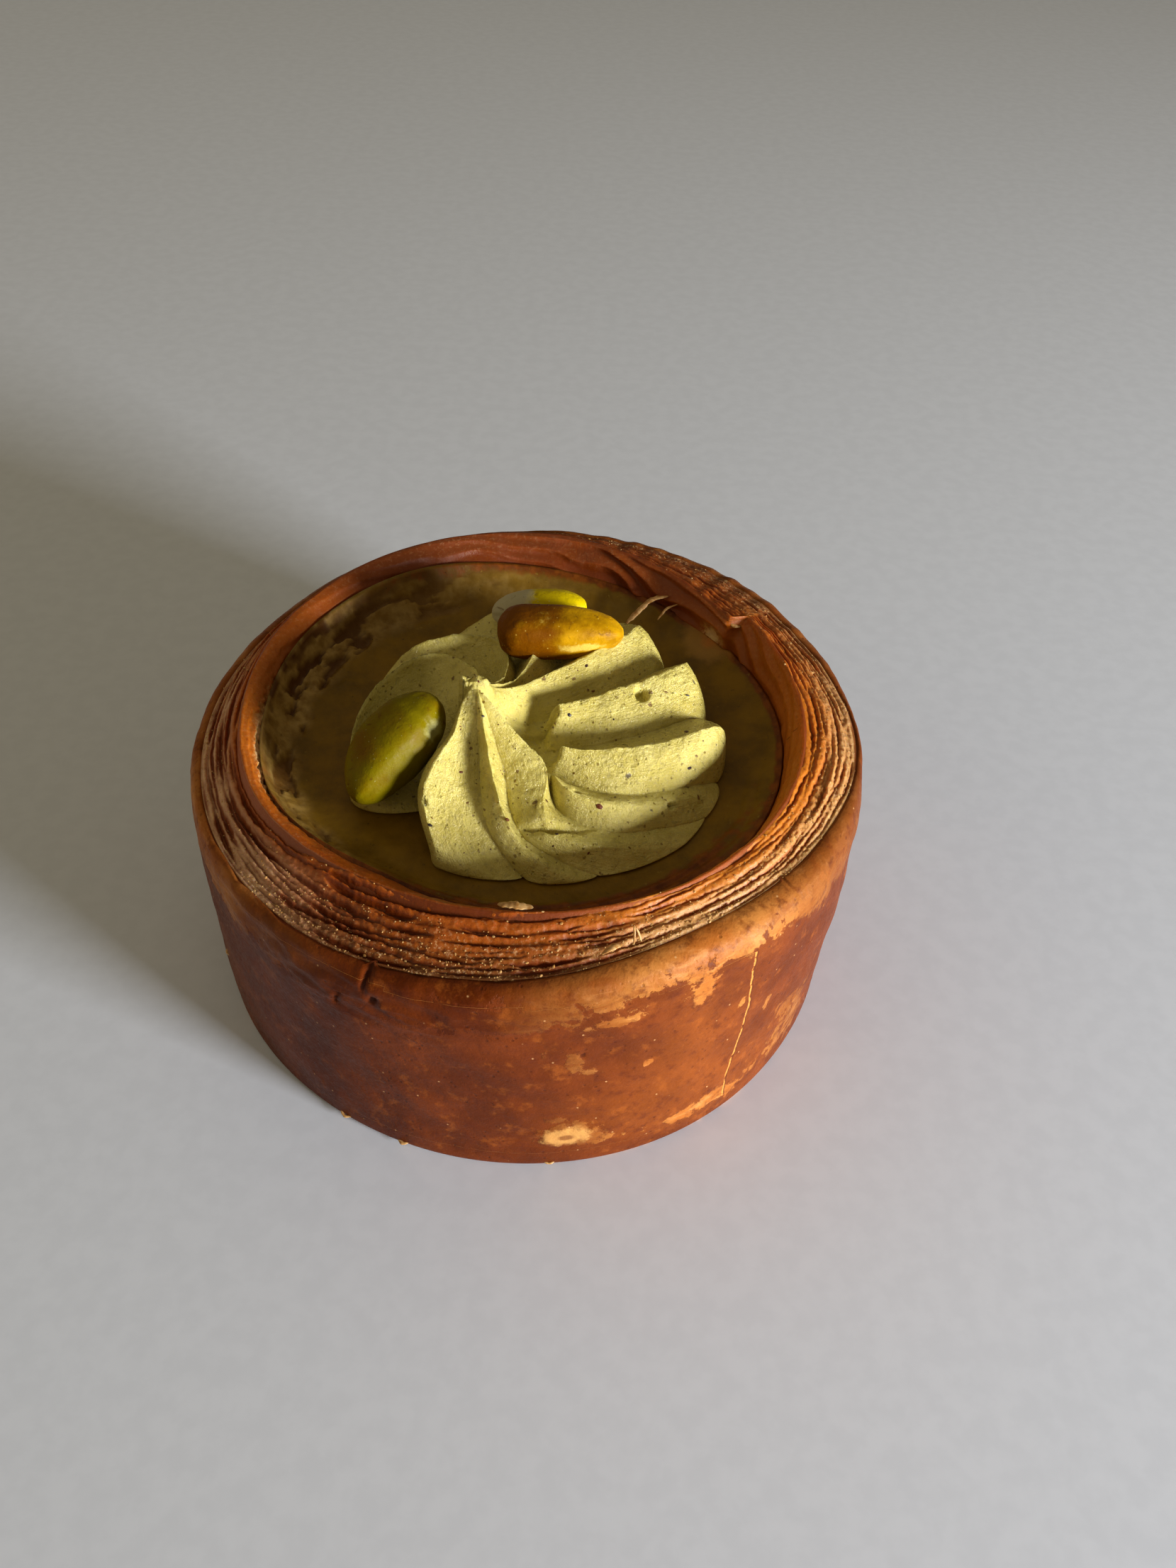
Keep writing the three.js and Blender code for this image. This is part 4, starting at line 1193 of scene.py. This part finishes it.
def rosette_point(turn, out):
    """Point on the cream: turn counts petals, out runs from the peak at 0 to the foot at 1."""
    petal = int(turn) % len(PETALS)
    following = (petal + 1) % len(PETALS)
    here, there = PETALS[petal], PETALS[following]
    across = turn - int(turn)
    if across < SLOPE_SHARE:
        ridge = petal
        step = across / SLOPE_SHARE
        part = (1 - there.face) * step
        shape = (1 - step) ** SLOPE_CURVES[petal]
        lobe = max(0.0, math.cos(math.pi / 2 * step)) ** FOOT_CURVES[petal]
    else:
        ridge = following
        step = (across - SLOPE_SHARE) / (1 - SLOPE_SHARE)
        part = 1 - there.face + there.face * step
        crisp = FACE_CRISPNESS * math.pi / 2
        shape = math.sin(crisp * step) / math.sin(crisp)
        lobe = max(0.0, math.sin(math.pi / 2 * step)) ** 0.5
    ragged = 0.025 * grain((turn * 9.0, out * 60.0, 0), 2.0, 11)
    torn = PETALS[ridge].torn
    whole = ease(torn - TORN_LENGTH, torn, out + ragged) if torn > 0 else 1.0
    lap = FULL_TURN if following == 0 else 0.0
    angle = mix(ridge_angle(petal, out), ridge_angle(following, out) + lap, part)
    radius = mix(here.reach, there.reach, part) * mix(FOOT_HOLLOWS[petal], 1, lobe) * out
    fall = mix(PETAL_ENDS[petal], PETAL_ENDS[following], part)
    valley = along(PETAL_STATIONS, here.valleys, out)
    body = mix(valley, max(valley, ridge_rise(ridge, out, ragged)), shape * whole)
    body *= (1 - out ** fall) ** RIDGE_END_ROUNDNESS
    spread = mix(PEAK_SPREAD, PEAK_STEEP_SPREAD, facing(angle, STEEP_PEAK))
    peak = math.exp(-(out / spread) ** PEAK_BLUNTNESS)
    height = mix(body, ROSETTE_PEAK[2] - ROSETTE_BASE - CROWN_DROP, peak)
    lean = (1 - out) ** 2
    spot = turned(radius, angle, ROSETTE_BASE + height)
    spot.x += mix(ROSETTE_CENTRE[0], ROSETTE_PEAK[0], lean)
    spot.y += mix(ROSETTE_CENTRE[1], ROSETTE_PEAK[1], lean)
    spot.z = crowned_height(spot)
    return spot


def nearest_vert(bm, place):
    return min(bm.verts, key=lambda vert: (vert.co - Vector(place)).length_squared)


def press_pores(bm):
    """Press the pores into the cream."""
    for place, half_width, deep in PORES:
        middle = nearest_vert(bm, place).co.copy()
        for vert in bm.verts:
            off = (vert.co - middle).length
            if off < half_width:
                vert.co -= vert.normal * deep * (1.0 - ease(0.4, 1.0, off / half_width))


def make_rosette():
    bm = bmesh.new()
    layers = float_layers(bm, "across", "out")
    columns = PETAL_COLUMNS * len(PETALS)
    for vert, angle, row in rolled(bm, ROSETTE_ROWS + 2, columns):
        if row > ROSETTE_ROWS:
            vert.co = Vector((*ROSETTE_CENTRE, ROSETTE_BASE))
            continue
        turn = (round(angle / FULL_TURN * columns) % columns) / PETAL_COLUMNS
        across = abs(2.0 * (turn - int(turn)) - 1.0)
        out = min(1.0, math.sin(math.pi / 2 * row / ROSETTE_ROWS))
        spot = rosette_point(turn, out)
        held = ease(0.0, 1.2, spot.z - ROSETTE_BASE)
        fine = mix(0.08, 0.15, across ** 6) * rough(spot, 0.8, 14)
        spot.z += held * (bumps(spot, CREAM_WAVES) + fine)
        give(vert, layers, across=across, out=out)
        vert.co = spot
    close_up(bm)
    press_pores(bm)
    draw = random.Random(SPECK_SEED)
    seats = []
    for vert in draw.sample(list(bm.verts), SPECKS):
        size = draw.uniform(*SPECK_SIZES)
        if draw.random() < LARGER_SPECK_CHANCE:
            size *= LARGER_SPECK
        seats.append((vert.co.copy(), vert.normal.copy(), size, draw.random() ** 1.8))
    for place, size, tone in LARGE_SPECKS:
        vert = nearest_vert(bm, place)
        seats.append((vert.co.copy(), vert.normal.copy(), size, tone))
    finish_piece("cream_swirl", bm, whipped_cream(), "cream_rosette")
    make_specks([seat for seat in seats if seat[0].z > ROSETTE_BASE + SPECKS_ABOVE], draw)


def make_specks(seats, draw):
    """Bits of ground nut lying in the surface of the cream."""
    bm = bmesh.new()
    layers = float_layers(bm, "tone")
    for place, outward, size, tone in seats:
        stretch = (draw.uniform(0.8, 1.8), draw.uniform(0.6, 1.1), 0.45)
        for vert in put_crumb(bm, place, size, stretch, draw.uniform(0.0, math.pi), outward):
            give(vert, layers, tone=tone)
    finish_piece("cream_specks", bm, nut_specks(), smooth=False)


# Kernels
def kernel_place(tail, tip):
    """Turn and shift that lay a kernel along its X axis from tail to tip, with Y level."""
    start, end = Vector(tail), Vector(tip)
    length = (end - start).normalized()
    side = Vector((0, 0, 1)).cross(length).normalized()
    above = length.cross(side)
    turn = Matrix((length, side, above)).transposed().to_4x4()
    return Matrix.Translation((start + end) / 2) @ turn


def make_kernel(name, material, tones_at):
    kernel = KERNELS[name]
    half_length = (Vector(kernel.tip) - Vector(kernel.tail)).length / 2
    bm = bmesh.new()
    bmesh.ops.create_uvsphere(bm, u_segments=KERNEL_SEGMENTS, v_segments=KERNEL_RINGS, radius=1.0)
    layers = float_layers(bm, "tone", "dust")
    for vert in bm.verts:
        place = max(-1.0, min(1.0, vert.co.z))
        turn = math.atan2(vert.co.y, vert.co.x)
        angle = math.degrees(turn)
        side, above = math.cos(turn), math.sin(turn)
        roundness = kernel.tail_round if place < 0 else kernel.tip_round
        girth = math.sqrt(max(0.0, 1 - abs(place) ** roundness)) * (1 - KERNEL_TAPER * place)
        boxed = (abs(side) ** kernel.square + abs(above) ** kernel.square) ** (-1 / kernel.square)
        from_seam = math.cos(turn - math.radians(kernel.seam)) - 1
        groove = SEAM_DEPTH * math.exp(from_seam * SEAM_SHARPNESS)
        from_crease = place - kernel.crease - CREASE_SLANT * above
        groove += CREASE_DEPTH * hill(from_crease, CREASE_HALF_LENGTH) * facing(angle, CREASE_SIDE)
        spot = Vector((place * half_length,
                       (kernel.width / 2 * boxed - groove) * girth * side
                       + kernel.bend * max(0.0, -place) ** 2,
                       (kernel.thick / 2 * boxed - groove) * girth * above))
        dent = KERNEL_DENT * rough(spot, KERNEL_DENT_SIZE, kernel.seed) + bumps(spot, KERNEL_GRIT)
        tone, dust = tones_at(place, angle)
        give(vert, layers, tone=tone, dust=dust)
        vert.co = spot * (1 + dent / kernel.width)
    bmesh.ops.transform(bm, matrix=kernel_place(kernel.tail, kernel.tip), verts=bm.verts)
    finish_piece(name + "_kernel", bm, material, name)


# How bright and how dusty each kernel is, with painted shade and painted highlight on the front one,
# from its tail at -1 to its tip at 1 and round it
def left_tones(place, angle):
    shade = hill(place + 0.25, 0.5) * facing(angle, (75.0, 45.0))
    return 0.75 - 0.4 * shade, hill(place - 0.55, 0.2) * facing(angle, (168.0, 26.0))


def front_tones(place, angle):
    # Painted highlight on the front side towards the tip, and pale dusty places on top towards the
    # tail
    dust = hill(place - 0.35, 0.4) * facing(angle, (182.0, 16.0))
    dust += 0.3 * hill(place + 0.3, 0.3) * facing(angle, (108.0, 45.0))
    # Painted shade: the tone darkens towards the tail
    return 0.65 * ease(-0.7, 0.4, place), dust


def back_tones(place, angle):
    return ease(-0.12, 0.02, place + 0.002 * angle), 0.9 - 0.8 * ease(-0.3, 0.1, place)


# Looks of the kernels: finish, slot, tones, then the deep and bright tints and that of the pale crusty
# places and painted highlight
KERNEL_LOOKS = {
    "pistachio_left": ("green_kernel", "kernel_green", left_tones,
                       tint(114, 80, 2), tint(120, 108, 2), tint(168, 164, 104)),
    "pistachio_front": ("amber_kernel", "kernel_amber", front_tones,
                        tint(116, 66, 0), tint(200, 150, 4), tint(224, 196, 92)),
    "pistachio_back": ("pale_kernel", "kernel_green", back_tones,
                       tint(146, 130, 86), tint(208, 184, 2), tint(190, 182, 150)),
}


# Floor, light and camera
def make_floor():
    mesh = bpy.data.meshes.new("floor")
    bm = bmesh.new()
    bmesh.ops.create_grid(bm, x_segments=1, y_segments=1, size=FLOOR_HALF_SIZE)
    bm.to_mesh(mesh)
    bm.free()
    mesh.materials.append(floor_paper())
    floor_piece = bpy.data.objects.new("floor", mesh)
    bpy.context.scene.collection.objects.link(floor_piece)


def soft_light(name, angle, height_angle, distance, size, power, colour):
    """Square soft light that looks at the tart from an angle round it and above it."""
    lamp = bpy.data.lights.new(name, "AREA")
    lamp.shape = "SQUARE"
    lamp.size = size
    lamp.energy = power
    lamp.color = colour
    light = bpy.data.objects.new(name, lamp)
    level = distance * math.cos(math.radians(height_angle))
    spot = turned(level, angle, distance * math.sin(math.radians(height_angle)))
    light.location = spot
    light.rotation_euler = (Vector(LIT_PLACE) - spot).to_track_quat("-Z", "Y").to_euler()
    bpy.context.scene.collection.objects.link(light)


def light_room():
    world = bpy.data.worlds.new("pale_room")
    world.use_nodes = True
    background = world.node_tree.nodes["Background"]
    background.inputs["Color"].default_value = ROOM_COLOUR
    background.inputs["Strength"].default_value = ROOM_STRENGTH
    bpy.context.scene.world = world
    bpy.context.scene.view_settings.view_transform = "Standard"


def place_camera():
    lens = bpy.data.cameras.new("camera")
    lens.sensor_width = SENSOR_WIDTH
    lens.lens = CAMERA_LENS
    lens.clip_start = NEAREST_VIEW
    camera = bpy.data.objects.new("camera", lens)
    camera.matrix_world = (Matrix.Translation(CAMERA_PLACE)
                           @ Matrix.Rotation(math.radians(CAMERA_TILT), 4, "X")
                           @ Matrix.Rotation(math.radians(CAMERA_ROLL), 4, "Z"))
    bpy.context.scene.collection.objects.link(camera)
    bpy.context.scene.camera = camera


rim_material = pastry_sheets()
make_case(pastry_skin(), rim_material)
make_rim(rim_material)
flake_material = pale_flakes()
make_crumbs(flake_material)
make_shreds(flake_material)
make_custard()
make_rosette()
for kernel_name, (finish_name, kernel_slot, tones_at, *tints) in KERNEL_LOOKS.items():
    make_kernel(kernel_name, kernel_skin(finish_name, *tints), tones_at)
make_floor()
for light_name, values in LIGHTS.items():
    soft_light(light_name, *values)
light_room()
place_camera()
